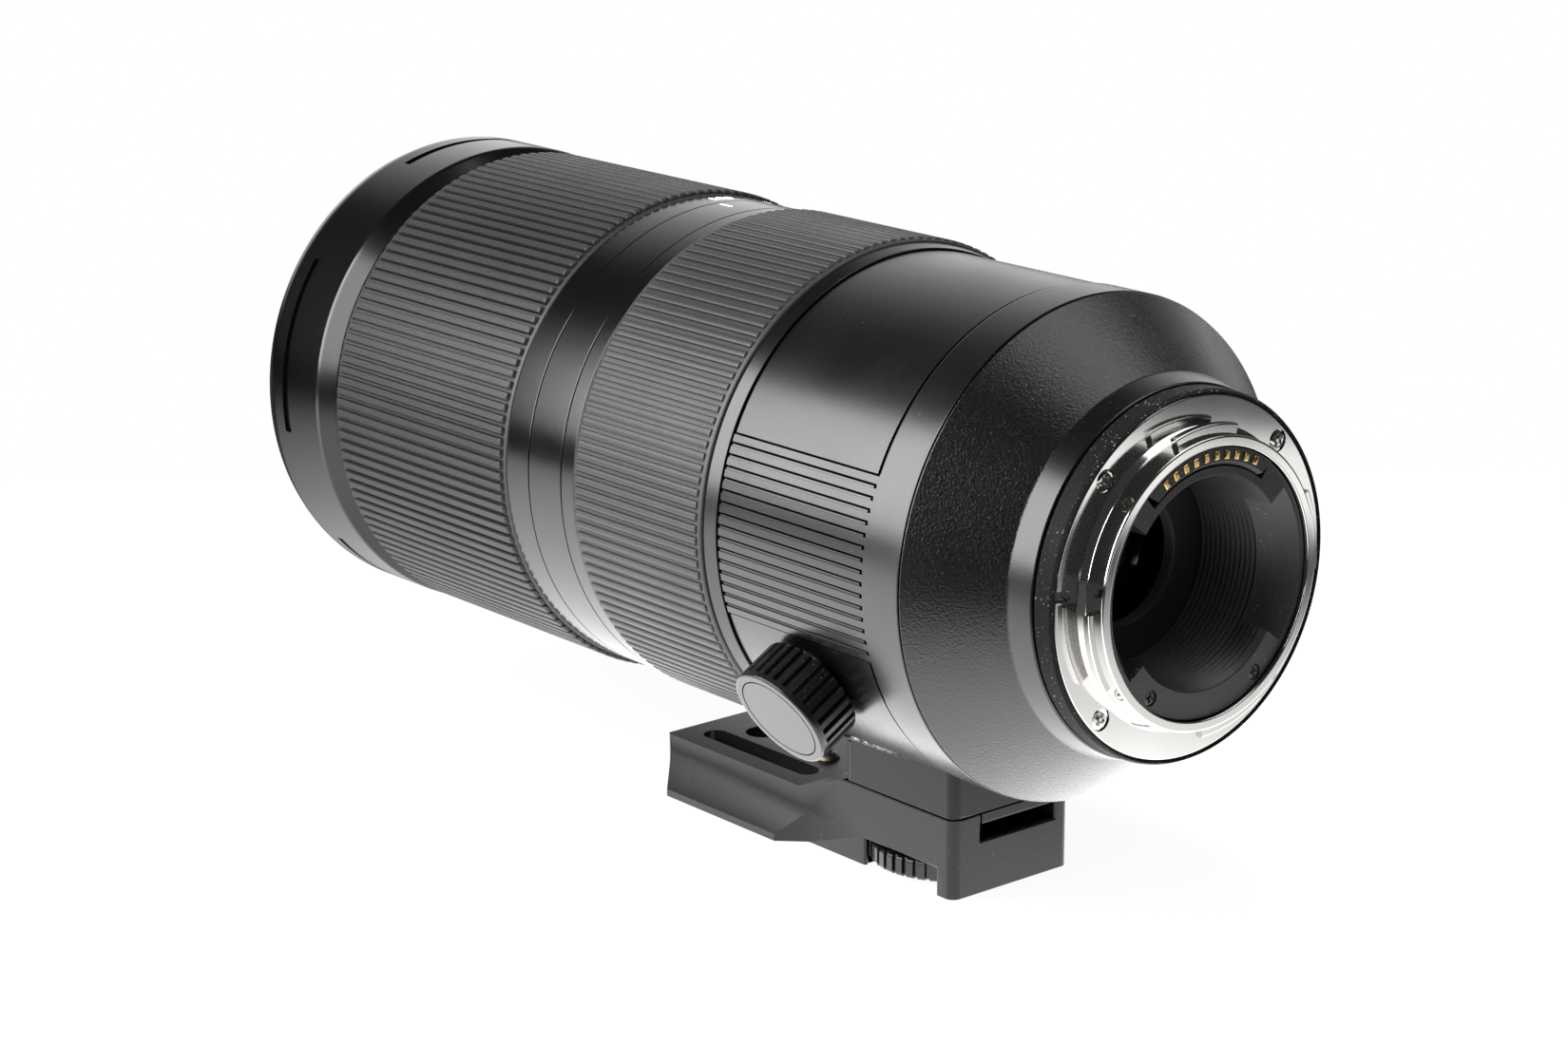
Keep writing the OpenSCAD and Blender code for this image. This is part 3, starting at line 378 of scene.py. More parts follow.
CHROME = Coating("bayonet_plating", (0.58, 0.575, 0.56), 0.1, metallic=1.0, pattern=Pattern.TURNED,
                 grain_mm=0.05, grain_depth_mm=0.0004, tone=0.05, dust=0.15, dust_color=(0.3, 0.29, 0.27))
GOLD = Coating("gold_contact", (0.72, 0.5, 0.2), 0.24, metallic=1.0, tone=0.15)
BRASS = Coating("turned_brass", (0.58, 0.42, 0.2), 0.3, metallic=1.0, pattern=Pattern.TURNED, tone=0.1)
DULL_BRASS = Coating("dull_brass", (0.2, 0.165, 0.12), 0.42, metallic=1.0, tone=0.15)
STEEL = Coating("machined_steel", grey(0.5), 0.32, metallic=1.0, pattern=Pattern.TURNED, tone=0.1)
BLACK_STEEL = Coating("blackened_steel", grey(0.06), 0.35, metallic=0.6, tone=0.2)
MATT_PLASTIC = Coating("matt_black_plastic", (0.007, 0.007, 0.0075), 0.45, grain_mm=0.2, tone=0.2, dust=0.1)
INNER_BLACK = Coating("inner_black", grey(0.012), 0.55, tone=0.2)
BOARD_GREEN = Coating("green_board", (0.03, 0.14, 0.06), 0.4, tone=0.3)
COPPER = Coating("copper_winding", (0.6, 0.3, 0.15), 0.35, metallic=1.0, pattern=Pattern.TURNED, tone=0.2)
MARK_WHITE = Coating("mark_white", (0.7, 0.7, 0.68), 0.5, tone=0.06)
GLASS = OpticalGlass("optical_glass", (0.93, 0.97, 0.96))


def linked(name: str, data: bpy.types.ID) -> Piece:
    """Makes an object in the scene.

    Args:
        name: its name.
        data: its mesh, curve, lamp or camera.

    Returns:
        The object, at the origin.
    """
    made = bpy.data.objects.new(name, data)
    bpy.context.scene.collection.objects.link(made)
    return made


def smooth(mesh: bpy.types.Mesh, sharp_deg: float) -> None:
    """Shades a mesh smooth except at edges sharper than sharp_deg."""
    mesh.shade_smooth()
    mesh.set_sharp_from_angle(angle=math.radians(sharp_deg))


def evaluated(made: Piece) -> bpy.types.Mesh:
    """Returns a new mesh of an object with its modifiers applied."""
    return bpy.data.meshes.new_from_object(made.evaluated_get(bpy.context.evaluated_depsgraph_get()))


class Shells:
    """Gathers closed shells, in millimetres, and makes one mesh piece of them."""

    def __init__(self) -> None:
        """Starts with no shell."""
        self.points: list[Array] = []
        self.faces: list[list[int]] = []
        self.count = 0

    def add(self, grid: Array, wrap_rows: bool = True, wrap_cols: bool = True) -> "Shells":
        """Adds a grid of points as quads, facing outwards.

        The volume of the pyramids from the origin to all faces tells which way the faces point.

        Args:
            grid: points by row and column.
            wrap_rows: whether the last row joins the first; else flat faces close both ends.
            wrap_cols: the same for columns.

        Returns:
            This object.
        """
        rows, cols = grid.shape[:2]
        index = np.arange(rows * cols).reshape(rows, cols)
        below, right = np.roll(index, -1, 0), np.roll(index, -1, 1)
        quads = np.stack([index, right, np.roll(below, -1, 1), below], -1)
        quads = quads[: rows if wrap_rows else -1, : cols if wrap_cols else -1].reshape(-1, 4)
        ends = [] if wrap_rows else [index[0, ::-1], index[-1]]
        ends += [] if wrap_cols else [index[:, 0], index[::-1, -1]]
        flat = grid.reshape(-1, 3)
        corner = [flat[quads[:, k]] for k in range(4)]
        volume = sum(np.einsum("ij,ij->", corner[0], np.cross(corner[k], corner[k + 1])) for k in (1, 2))
        for end in ends:
            volume += np.einsum("j,ij->", flat[end].mean(0), np.cross(flat[end], flat[np.roll(end, -1)]))
        step = 1 if volume > 0 else -1
        self.faces += (quads[:, ::step] + self.count).tolist()
        self.faces += [(end[::step] + self.count).tolist() for end in ends]
        self.points.append(flat)
        self.count += len(flat)
        return self

    def build(self, name: str, sharp_deg: float = SHARP_DEG) -> Piece:
        """Makes the mesh object, smooth except at sharp edges.

        Args:
            name: piece name.
            sharp_deg: angle from which an edge stays sharp.

        Returns:
            The object, at the origin.
        """
        mesh = bpy.data.meshes.new(name)
        mesh.from_pydata((np.concatenate(self.points) * MM).tolist(), [], self.faces)
        smooth(mesh, sharp_deg)
        return linked(name, mesh)


def rounded(points: Corners, radius: float | list[float] = 0.2, steps: int = 5) -> Array:
    """Rounds the corners of a closed profile.

    A corner P becomes (1-t)^2 A + 2t(1-t) P + t^2 B, with A and B on its two edges at the radius from P.
    One point more on each edge keeps the flat faces flat in shading.

    Args:
        points: corners of the profile.
        radius: reach of the rounding, one for all corners or one each.
        steps: points on each rounding.

    Returns:
        Points of the rounded profile.
    """
    edge_share, flat_share = 0.38, 1.25
    at = np.array(points, float)
    back, ahead = np.roll(at, 1, 0) - at, np.roll(at, -1, 0) - at
    back_len, ahead_len = np.linalg.norm(back, axis=1), np.linalg.norm(ahead, axis=1)
    reach = np.minimum(np.broadcast_to(radius, len(at)), edge_share * np.minimum(back_len, ahead_len))
    first = (back / back_len[:, None] * reach[:, None])[:, None]
    last = (ahead / ahead_len[:, None] * reach[:, None])[:, None]
    at = at[:, None]
    t = np.linspace(0.0, 1.0, steps)[None, :, None]
    curve = at + (1 - t) ** 2 * first + t**2 * last
    return np.concatenate([at + flat_share * first, curve, at + flat_share * last], 1).reshape(-1, 2)


def relief(radius: Array, station: Array, theta: Array) -> Array:
    """Places a table of radii, by station and angle: x = r cos t, y = station, z = r sin t."""
    along = np.broadcast_to(station[:, None], radius.shape)
    return np.stack([radius * np.cos(theta), along, radius * np.sin(theta)], -1)


def turned(profile: Array, theta: Array = TURN) -> Array:
    """Turns a profile of (radius, station) about the optical axis."""
    return relief(np.repeat(profile[:, :1], len(theta), 1), profile[:, 1], theta)


def turned_piece(name: str, corners: Corners, radius: float | list[float] = 0.15, steps: int = 5) -> Piece:
    """Builds a ring by turning a profile with rounded corners about the optical axis."""
    return Shells().add(turned(rounded(corners, radius, steps))).build(name)


def arc(profile: Array, middle_deg: float, half_deg: float, steps: int) -> Array:
    """Turns a profile about the optical axis by half_deg to both sides of an angle."""
    return turned(profile, np.radians(np.linspace(middle_deg - half_deg, middle_deg + half_deg, steps)))


def soft_step(distance: Array, half_width: float, slope: float) -> Array:
    """Returns 1 where distance is under half_width and 0 beyond, with a straight slope between."""
    return np.clip((half_width - distance) / slope + 0.5, 0.0, 1.0)


def outwards(angle_deg: float) -> Array:
    """Returns the unit vector from the optical axis at an angle."""
    return np.array([math.cos(math.radians(angle_deg)), 0.0, math.sin(math.radians(angle_deg))])


def placed(grid: Array, origin: Array, axis: Array, side: Array) -> Array:
    """Moves a grid from its own axes to the lens: own Z goes to axis, own X to side, own Y completes them."""
    third = np.cross(axis, side)
    return origin + grid[..., :1] * side + grid[..., 1:2] * third + grid[..., 2:] * axis


def spun(profile: Array, phi: Array = TURN) -> Array:
    """Turns a profile of (radius, height), whose radius may be a table by point and angle, about own Z."""
    radius, height = profile[..., :-1], profile[..., -1:]
    return np.stack(np.broadcast_arrays(radius * np.cos(phi), radius * np.sin(phi), height), -1)


def around(count: int, phase: Array) -> Array:
    """Returns the angles of a pattern that repeats round a turn, from its phases in parts of one pitch."""
    return ((np.arange(count)[:, None] + phase) * 2.0 * np.pi / count).ravel()


def fluted(profile: Array, depth: Array, count: int, wave: Corners) -> Array:
    """Turns a profile about own Z and sinks flutes in it: radius less depth times (1 - wave).

    Args:
        profile: points of (radius, height).
        depth: depth of the flutes at each point.
        count: number of flutes.
        wave: phase and height of the corners of one land, which stands at 1.

    Returns:
        The grid.
    """
    phase, height = np.array(wave).T
    radius = profile[:, :1] - depth[:, None] * (1.0 - np.tile(height, count))
    return spun(np.concatenate([radius, profile[:, 1:]], 1), around(count, phase))


def dress(made: Piece, body: Body, finish: Finish, slot: str, *nodes: str) -> Piece:
    """Gives a piece its finish and body, and hides the CAD nodes that it stands for.

    Args:
        made: the piece.
        body: body that it rides on.
        finish: its finish.
        slot: the record's material slot; not used.
        nodes: CAD nodes that it replaces.

    Returns:
        The piece.
    """
    made.data.materials.clear()
    made.data.materials.append(finish.material())
    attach(made, body.value)
    if nodes:
        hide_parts(*nodes)
    LOG.info("%s: %d faces", made.name, len(made.data.polygons))
    return made


def paint_faces(made: Piece, finish: Coating, chosen: Callable[[Array, Array], Array]) -> None:
    """Gives a second finish to the faces whose centres are chosen.

    Args:
        made: the piece.
        finish: finish of the chosen faces.
        chosen: tells by the centres' radius and station in millimetres which faces get it.
    """
    mesh = made.data
    mesh.materials.append(finish.material())
    middle = np.empty(len(mesh.polygons) * 3)
    mesh.polygons.foreach_get("center", middle)
    x, y, z = middle.reshape(-1, 3).T / MM
    mesh.polygons.foreach_set("material_index", chosen(np.hypot(x, z), y).astype(np.int32))


def carve(made: Piece, cutter: Shells, sharp_deg: float = SHARP_DEG) -> Piece:
    """Cuts the cutter's shells out of a piece.

    Args:
        made: piece to cut.
        cutter: shells to remove.
        sharp_deg: angle from which an edge stays sharp.

    Returns:
        The piece with its new mesh.
    """
    tool = cutter.build("cutter")
    step = made.modifiers.new("cut", "BOOLEAN")
    step.object, step.operation, step.solver, step.use_self = tool, "DIFFERENCE", "EXACT", True
    cut = evaluated(made)
    made.modifiers.clear()
    made.data = cut
    bpy.data.objects.remove(tool)
    smooth(cut, sharp_deg)
    return made


def softened_copy(node: str, name: str, width: float, until: float) -> Piece:
    """Copies a CAD node with its long sharp edges rounded.

    Args:
        node: CAD node.
        name: piece name.
        width: width of the rounding in millimetres.
        until: station up to which edges are rounded.

    Returns:
        The new piece.
    """
    crease, shortest = math.radians(28.0), 6.0 * width * MM
    work = bmesh.new()

    def clean(flat_deg: float) -> None:
        """Merges equal points and takes out the edges between flat faces."""
        bmesh.ops.remove_doubles(work, verts=work.verts, dist=2e-6)
        bmesh.ops.dissolve_limit(work, angle_limit=math.radians(flat_deg), verts=work.verts, edges=work.edges)

    def is_sharp(edge: bmesh.types.BMEdge) -> bool:
        """Tells whether an edge is convex, sharp, long and near enough."""
        return (len(edge.link_faces) == 2 and edge.is_convex and edge.calc_face_angle() > crease
                and edge.calc_length() > shortest and max(v.co.y for v in edge.verts) < until * MM)

    work.from_mesh(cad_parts[node].data)
    clean(1.0)
    sharp = [edge for edge in work.edges if is_sharp(edge)]
    bmesh.ops.bevel(work, geom=sharp, offset=width * MM, segments=3, profile=0.5, affect="EDGES",
                    clamp_overlap=False)
    clean(0.5)
    bmesh.ops.triangulate(work, faces=[f for f in work.faces if len(f.verts) > 4])
    bmesh.ops.dissolve_degenerate(work, dist=1e-6, edges=work.edges)
    mesh = bpy.data.meshes.new(name)
    work.to_mesh(mesh)
    work.free()
    smooth(mesh, 16.0)
    made = linked(name, mesh)
    even = made.modifiers.new("even", "WEIGHTED_NORMAL")
    even.weight, even.keep_sharp = 100, True
    made.data = evaluated(made)
    made.modifiers.clear()
    return made


def screw_head(radius: float, height: float, arm: float, width: float, depth: float) -> Array:
    """Domed screw head with a cross recess, along own Z.

    Rows run out from the middle. In each quarter the columns follow the recess's edges, at the angle
    asin(width / radius) from the arms, so the recess has clean walls.

    Args:
        radius: head radius.
        height: head height.
        arm: length of a recess arm from the middle.
        width: half width of an arm.
        depth: depth of the recess.

    Returns:
        Grid whose rows end at the head's lower rim.
    """
    core, tip = 1.45 * width / radius, arm / radius
    share = np.array([0.08, 0.2, core, 0.5, tip - 0.04, tip, 0.8, 0.93, 1.0, 1.0])
    rho = np.maximum.accumulate(share * radius)
    edge = np.degrees(np.arcsin(np.minimum(width / rho, 0.7)))[:, None]
    arm_side = np.array([-1.0, 0.0, 1.0, 1.25])
    land = np.array([0.15, 0.5, 0.85])
    quarter = np.concatenate([edge * arm_side, 1.25 * edge + land * (90 - 2.5 * edge), 90 - 1.25 * edge], 1)
    phi = np.radians(np.concatenate([quarter + 90 * k for k in range(4)], 1))
    in_arm = np.tile(np.repeat([1.0, 0.0], [3, 5]), 4)
    deep = np.where(rho[:, None] < 1.4 * width, 1.0, in_arm) * (rho < arm)[:, None]
    dome = height * np.sqrt(np.maximum(1.0 - 0.3 * (rho / radius) ** 4, 0.0))[:, None]
    z = dome - depth * deep
    z[-1] = 0.0
    return np.stack([rho[:, None] * np.cos(phi), rho[:, None] * np.sin(phi), z], -1)


def wrapped_text(words: str, height: float, radius: float, angle_deg: float, station: float) -> Shells:
    """Raised numerals on a ring, read from behind the lens.

    Flat letters at (u, v) go to the angle minus u / radius and the station plus v.

    Args:
        words: numerals.
        height: letter height.
        radius: ring radius that the letters lie on.
        angle_deg: angle of the middle of the words.
        station: station of the middle of the letters.

    Returns:
        Shells with the letters' faces.
    """
    font_ratio, half_raise = 1.36, 0.04
    curve = bpy.data.curves.new("numerals", "FONT")
    curve.body, curve.size, curve.align_x, curve.align_y = words, height * font_ratio, "CENTER", "CENTER"
    curve.resolution_u, curve.extrude = 4, half_raise
    holder = linked("numerals", curve)
    flat = evaluated(holder)
    spots = np.empty(len(flat.vertices) * 3)
    flat.vertices.foreach_get("co", spots)
    spots = spots.reshape(-1, 3)
    _, first, merged = np.unique(np.round(spots, 4), axis=0, return_index=True, return_inverse=True)
    u, v, rise = spots[first].T
    theta = math.radians(angle_deg) - u / radius
    made = Shells()
    reach = radius + rise
    made.points.append(np.stack([reach * np.cos(theta), station + v, reach * np.sin(theta)], -1))
    made.faces = [merged.ravel()[list(face.vertices)].tolist() for face in flat.polygons]
    made.count = len(first)
    bpy.data.objects.remove(holder)
    return made


def lens_shell(start: float, edge: float, radius: float, front: float, rear: float, seat: float) -> Shells:
    """Lens element: each face is its rim's station plus or minus the height of a sphere over its seat.

    Args:
        start: station of the rear seat.
        edge: distance between the seats.
        radius: rim radius.
        front: radius of curvature of the bulging front face.
        rear: the same for the rear face.
        seat: radius at which the faces rest.

    Returns:
        The closed shell.
    """
    q = radius * np.linspace(0.01, 1.0, 28)

    def bulge(curve: float) -> Array:
        """Returns the height of a face over its seat."""
        return np.sqrt(curve**2 - q**2) - math.sqrt(curve**2 - seat**2)

    back, face = np.stack([q, start - bulge(rear)], -1), np.stack([q, start + edge + bulge(front)], -1)
    return Shells().add(turned(np.concatenate([back, face[::-1]]), TURN[::2]), wrap_rows=False)


@dataclass
class RibbedGrip:
    """Rubber sleeve with straight ribs along the axis."""

    name: str
    start: float
    end: float
    top: float
    floor: float = 42.9
    seat: float = 42.1
    ribs: int = 135
    land: float = 0.52
    border: float = 1.0
    rim_drop: float = 0.25

    def build(self) -> Piece:
        """Builds the sleeve: radius = floor + height x rib wave round the ring x window along the axis.

        The wave is 1 on a rib, 0 in a valley and a little below 0 in the valley's upper corner.

        Returns:
            The sleeve.
        """
        half, b = 0.5 * self.land, self.border
        phase = np.array([-half - 0.035, -half - 0.01, -half + 0.03, half - 0.03, half + 0.01, half + 0.035,
                          half + 0.12, half + 0.15])
        wave = np.tile([0.0, 0.85, 1.0, 1.0, 0.85, -0.5, -0.5, 0.0], self.ribs)
        near = np.array([0.0, 0.0, 0.25, b, b + 0.06, b + 0.25, b + 0.6])
        window = np.array([0.0, 0.0, 0.0, 0.0, 0.7, 0.97, 1.0])
        station = np.concatenate([self.start + near, self.end - near[::-1]])
        height = np.concatenate([window, window[::-1]])[:, None] * wave * (self.top - self.floor)
        base = np.full(len(station), self.floor)
        base[[1, -2]] -= self.rim_drop
        base[[0, -1]] = self.seat
        grid = relief(base[:, None] + height, station, around(self.ribs, phase))
        return Shells().add(grid).build(self.name, 50.0)


@dataclass
class FrontGroup:
    """Front ring with hood grooves, the cell behind it and the front glass."""

    rear: float = 177.1
    front: float = 198.0
    radius: float = 43.9
    bore: float = 38.4
    chamfer: tuple[float, float] = (2.4, 3.1)
    bevel: tuple[float, float] = (0.9, 2.4)
    filter_r: float = 41.0
    filter_depth: float = 7.0
    slot_y: float = 191.03
    slot_w: float = 1.8
    slot_d: float = 0.8
    slot_arc: float = 44.0
    slot_mids: tuple[float, ...] = (88.0, 166.0, 243.0, 340.0)
    slot_end_deg: float = 0.08
    cell_r: float = 37.0
    cell_y: tuple[float, float, float] = (165.5, 184.1, 190.0)
    trap_y: float = 185.6
    seat_r: float = 34.6
    land_r: float = 32.0
    glass_y: float = 178.0
    glass_edge: float = 3.5
    curve: float = 100.0

    def build(self) -> None:
        """Builds and dresses the group."""
        ring = dress(self.ring(), Body.FRONT, GLOSS_BLACK, "black_anodised", "front_ring")
        paint_faces(ring, CHAMFER_BLACK, lambda radius, y: y < self.rear + self.chamfer[1] - 0.1)
        dress(self.cell(), Body.FRONT, INNER_BLACK, "barrel_alloy", "front_cell")
        dress(self.retainer(), Body.FRONT, SATIN_BLACK, "black_anodised", "front_retainer")
        glass = lens_shell(self.glass_y, self.glass_edge, self.seat_r - 0.05, self.curve, 4 * self.curve,
                           self.land_r)
        dress(glass.build("front_glass"), Body.FRONT, GLASS, "lens_glass", "front_element")

    def ring(self) -> Piece:
        """Front ring: a turned profile whose radius drops by the slot's depth inside each hood groove.

        Returns:
            The ring.
        """
        r, y1, filter_r, filter_y = self.radius, self.front, self.filter_r, self.front - self.filter_depth
        corners = [(self.bore, self.rear), (r - self.chamfer[0], self.rear), (r, self.rear + self.chamfer[1]),
                   (r, y1 - self.bevel[1]), (r - self.bevel[0], y1), (filter_r + 0.5, y1),
                   (filter_r, y1 - 0.5), (filter_r, filter_y), (self.bore, filter_y - 1.0)]
        profile = rounded(corners, [0.3, 0.3, 0.5, 0.9, 0.4, 0.2, 0.2, 0.3, 0.3])
        half, half_arc, end_deg = self.slot_w / 2, self.slot_arc / 2, self.slot_end_deg
        walls = np.array([[r, self.slot_y + side + step] for side in (-half, half) for step in (-0.05, 0.05)])
        spot = int(np.argmax((profile[:, 0] > r - HAIR) & (profile[:, 1] > self.slot_y)))
        profile = np.insert(profile, spot, walls, 0)
        mids = np.array(self.slot_mids)
        ends = [mids + side + step for side in (-half_arc, half_arc) for step in (-end_deg, end_deg)]
        theta = np.sort(np.concatenate([np.degrees(TURN), *ends]) % 360.0)
        away = np.abs((theta[:, None] - mids + 180.0) % 360.0 - 180.0).min(1)
        inside = (np.abs(profile[:, 1] - self.slot_y) < half) & (profile[:, 0] > r - HAIR)
        sunk = inside[:, None] * soft_step(away, half_arc, 2 * end_deg) * self.slot_d
        grid = relief(profile[:, :1] - sunk, profile[:, 1], np.radians(theta))
        return Shells().add(grid).build("front_ring_finish")

    def cell(self) -> Piece:
        """Front cell with fine light-trap steps above the glass.

        Returns:
            The cell.
        """
        steps = np.arange(6)
        trap = np.stack([self.seat_r + 0.3 + 0.4 * (steps // 2), self.trap_y + 0.8 * ((steps + 1) // 2)], -1)
        rear, shoulder, front = self.cell_y
        corners = [(self.land_r, rear), (self.cell_r, rear), (self.cell_r, shoulder), (self.bore, shoulder),
                   (self.bore, front), (self.bore - 1.2, front), *map(tuple, trap[::-1]),
                   (self.seat_r, self.trap_y), (self.seat_r, self.glass_y), (self.land_r, self.glass_y)]
        return turned_piece("front_cell_finish", corners, 0.12, 3)

    def retainer(self) -> Piece:
        """Retaining ring with a bevelled face, turned from four corners.

        Returns:
            The ring.
        """
        outer, y0 = self.seat_r - 0.02, self.glass_y + self.glass_edge - 0.4
        corners = [(self.seat_r - 1.4, y0), (outer, y0), (outer, y0 + 4.0), (self.seat_r - 0.6, y0 + 4.0)]
        return turned_piece("front_retainer_finish", corners, 0.15, 4)


@dataclass
class ZoomControl:
    """Zoom ring with its scale, and the rubber grip on it."""

    rear: float = 115.9
    grip_start: float = 122.1
    grip_end: float = 175.3
    front: float = 176.8
    radius: float = 42.7
    seat: float = 42.1
    bore: float = 40.1
    lip_r: float = 38.7
    grip_r: float = 43.66
    grip_land: float = 0.58
    letter: float = 2.6
    scale_y: float = 119.0
    scale: tuple[tuple[str, float], ...] = (
        ("100", 86.0), ("135", 69.0), ("200", 49.0), ("300", 26.0), ("400", 6.0))

    def build(self) -> None:
        """Builds and dresses the ring, its numerals and the grip."""
        r, start, end, front = self.radius, self.grip_start, self.grip_end, self.front
        corners = [(self.bore, self.rear), (r, self.rear), (r, start), (self.seat, start), (self.seat, end),
                   (r, end), (r, front - 0.9), (r - 0.7, front), (self.lip_r, front), (self.lip_r, end),
                   (self.bore, end)]
        rounds = [0.1, 0.15, 0.1, 0.05, 0.05, 0.1, 0.3, 0.2, 0.1, 0.1, 0.1]
        ring = turned_piece("zoom_ring_finish", corners, rounds)
        dress(ring, Body.ZOOM, GLOSS_BLACK, "black_anodised", "zoom_ring")
        for words, angle in self.scale:
            mark = wrapped_text(words, self.letter, r + PAINT_RISE, angle, self.scale_y)
            dress(mark.build("scale_" + words), Body.ZOOM, MARK_WHITE, "black_anodised")
        grip = RibbedGrip("zoom_grip_finish", start, end, self.grip_r, land=self.grip_land).build()
        dress(grip, Body.ZOOM, GRIP_RUBBER, "grip_rubber", "zoom_grip")


@dataclass
class FocusControl:
    """Focus ring with a smooth strip in front of its rubber grip."""

    rear: float = 68.2
    grip_end: float = 103.0
    front: float = 106.4
    radius: float = 42.7
    seat: float = 42.1
    bore: float = 41.4
    grip_r: float = 43.28

    def build(self) -> None:
        """Builds and dresses the ring and the grip."""
        corners = [(self.bore, self.rear), (self.seat, self.rear), (self.seat, self.grip_end),
                   (self.radius, self.grip_end), (self.radius, self.front), (self.bore, self.front)]
        ring = turned_piece("focus_ring_finish", corners, [0.05, 0.05, 0.05, 0.1, 0.15, 0.05])
        dress(ring, Body.FOCUS, GLOSS_BLACK, "black_anodised", "focus_ring")
        grip = RibbedGrip("focus_grip_finish", self.rear, self.grip_end, self.grip_r).build()
        dress(grip, Body.FOCUS, FOCUS_RUBBER, "grip_rubber", "focus_grip")


@dataclass
class FixedBarrel:
    """Index ring, trim ring, rear cover and the seal round the flange."""

    radius: float = 42.7
    barrel_r: float = 41.1
    trim: tuple[float, float] = (65.4, 68.0)
    trim_r: tuple[float, float] = (41.95, 42.45)
    index: tuple[float, float] = (106.6, 115.7)
    mark: tuple[float, float] = (111.5, 114.7)
    mark_angle: float = 91.0
    mark_half: float = 0.35
    cover_y: tuple[float, float, float] = (3.9, 8.3, 21.3)
    cover_r: tuple[float, float, float] = (30.3, 31.2, 41.7)
    cover_bore: float = 38.04
    cone_bore: float = 35.4
    neck_r: float = 28.0
    wall: float = 1.6
    seal_r: tuple[float, float, float] = (28.05, 29.2, 30.0)
    seal_y: tuple[float, float, float] = (-0.3, 2.25, 3.65)

    def build(self) -> None:
        """Builds and dresses the fixed rings, the mark that the zoom scale is read against, and the seal."""
        inner, r = self.barrel_r, self.radius
        y0, y1 = self.index
        ring = turned_piece("index_ring_finish", [(inner, y0), (r, y0), (r, y1), (inner, y1)])
        dress(ring, Body.BARREL, GLOSS_BLACK, "black_anodised", "index_ring")
        low, high = r - 0.1, r + PAINT_RISE
        m0, m1 = self.mark
        bar = rounded([(low, m0), (high, m0), (high, m1), (low, m1)], 0.02, 3)
        line = Shells().add(arc(bar, self.mark_angle, self.mark_half, 4), wrap_cols=False)
        dress(line.build("index_mark"), Body.BARREL, MARK_WHITE, "black_anodised")
        t0, t1 = self.trim
        corners = [(inner, t0), (self.trim_r[0], t0), (self.trim_r[1], t1), (inner, t1)]
        trim = turned_piece("trim_ring_finish", corners, [0.05, 0.12, 0.1, 0.05])
        dress(trim, Body.BARREL, SATIN_BLACK, "black_anodised", "trim_ring")
        self.cover()
        neck, seat, outer = self.seal_r
        tip, step, front = self.seal_y
        corners = [(seat, tip + 0.4), ((seat + outer) / 2, tip), (outer, tip + 0.7), (outer, front),
                   (neck, front), (neck, step), (seat, step)]
        dress(turned_piece("dust_seal_finish", corners), Body.BARREL, SEAL_RUBBER, "seal_rubber", "dust_seal")

    def cover(self) -> None:
        """Builds the rear cover as one turned shell, with smooth and sand-textured zones."""
        rear, mid, front = self.cover_y
        r0, r1, r2 = self.cover_r
        w = self.wall
        corners = [(self.neck_r, rear), (r0, rear), (r1, mid), (r2, front), (self.cover_bore, front),
                   (self.cover_bore, front - w), (self.cone_bore, front - w), (r1 - w, mid + 1.0),
                   (r1 - w, rear + w), (self.neck_r, rear + w)]
        shell = turned_piece("rear_cover_finish", corners, [0.1, 0.35, 0.25, 0.25] + 6 * [0.1])
        dress(shell, Body.BARREL, SAND_BLACK, "black_sand", "rear_cover")
        paint_faces(shell, SATIN_BLACK, lambda radius, y: y < mid - 0.05)


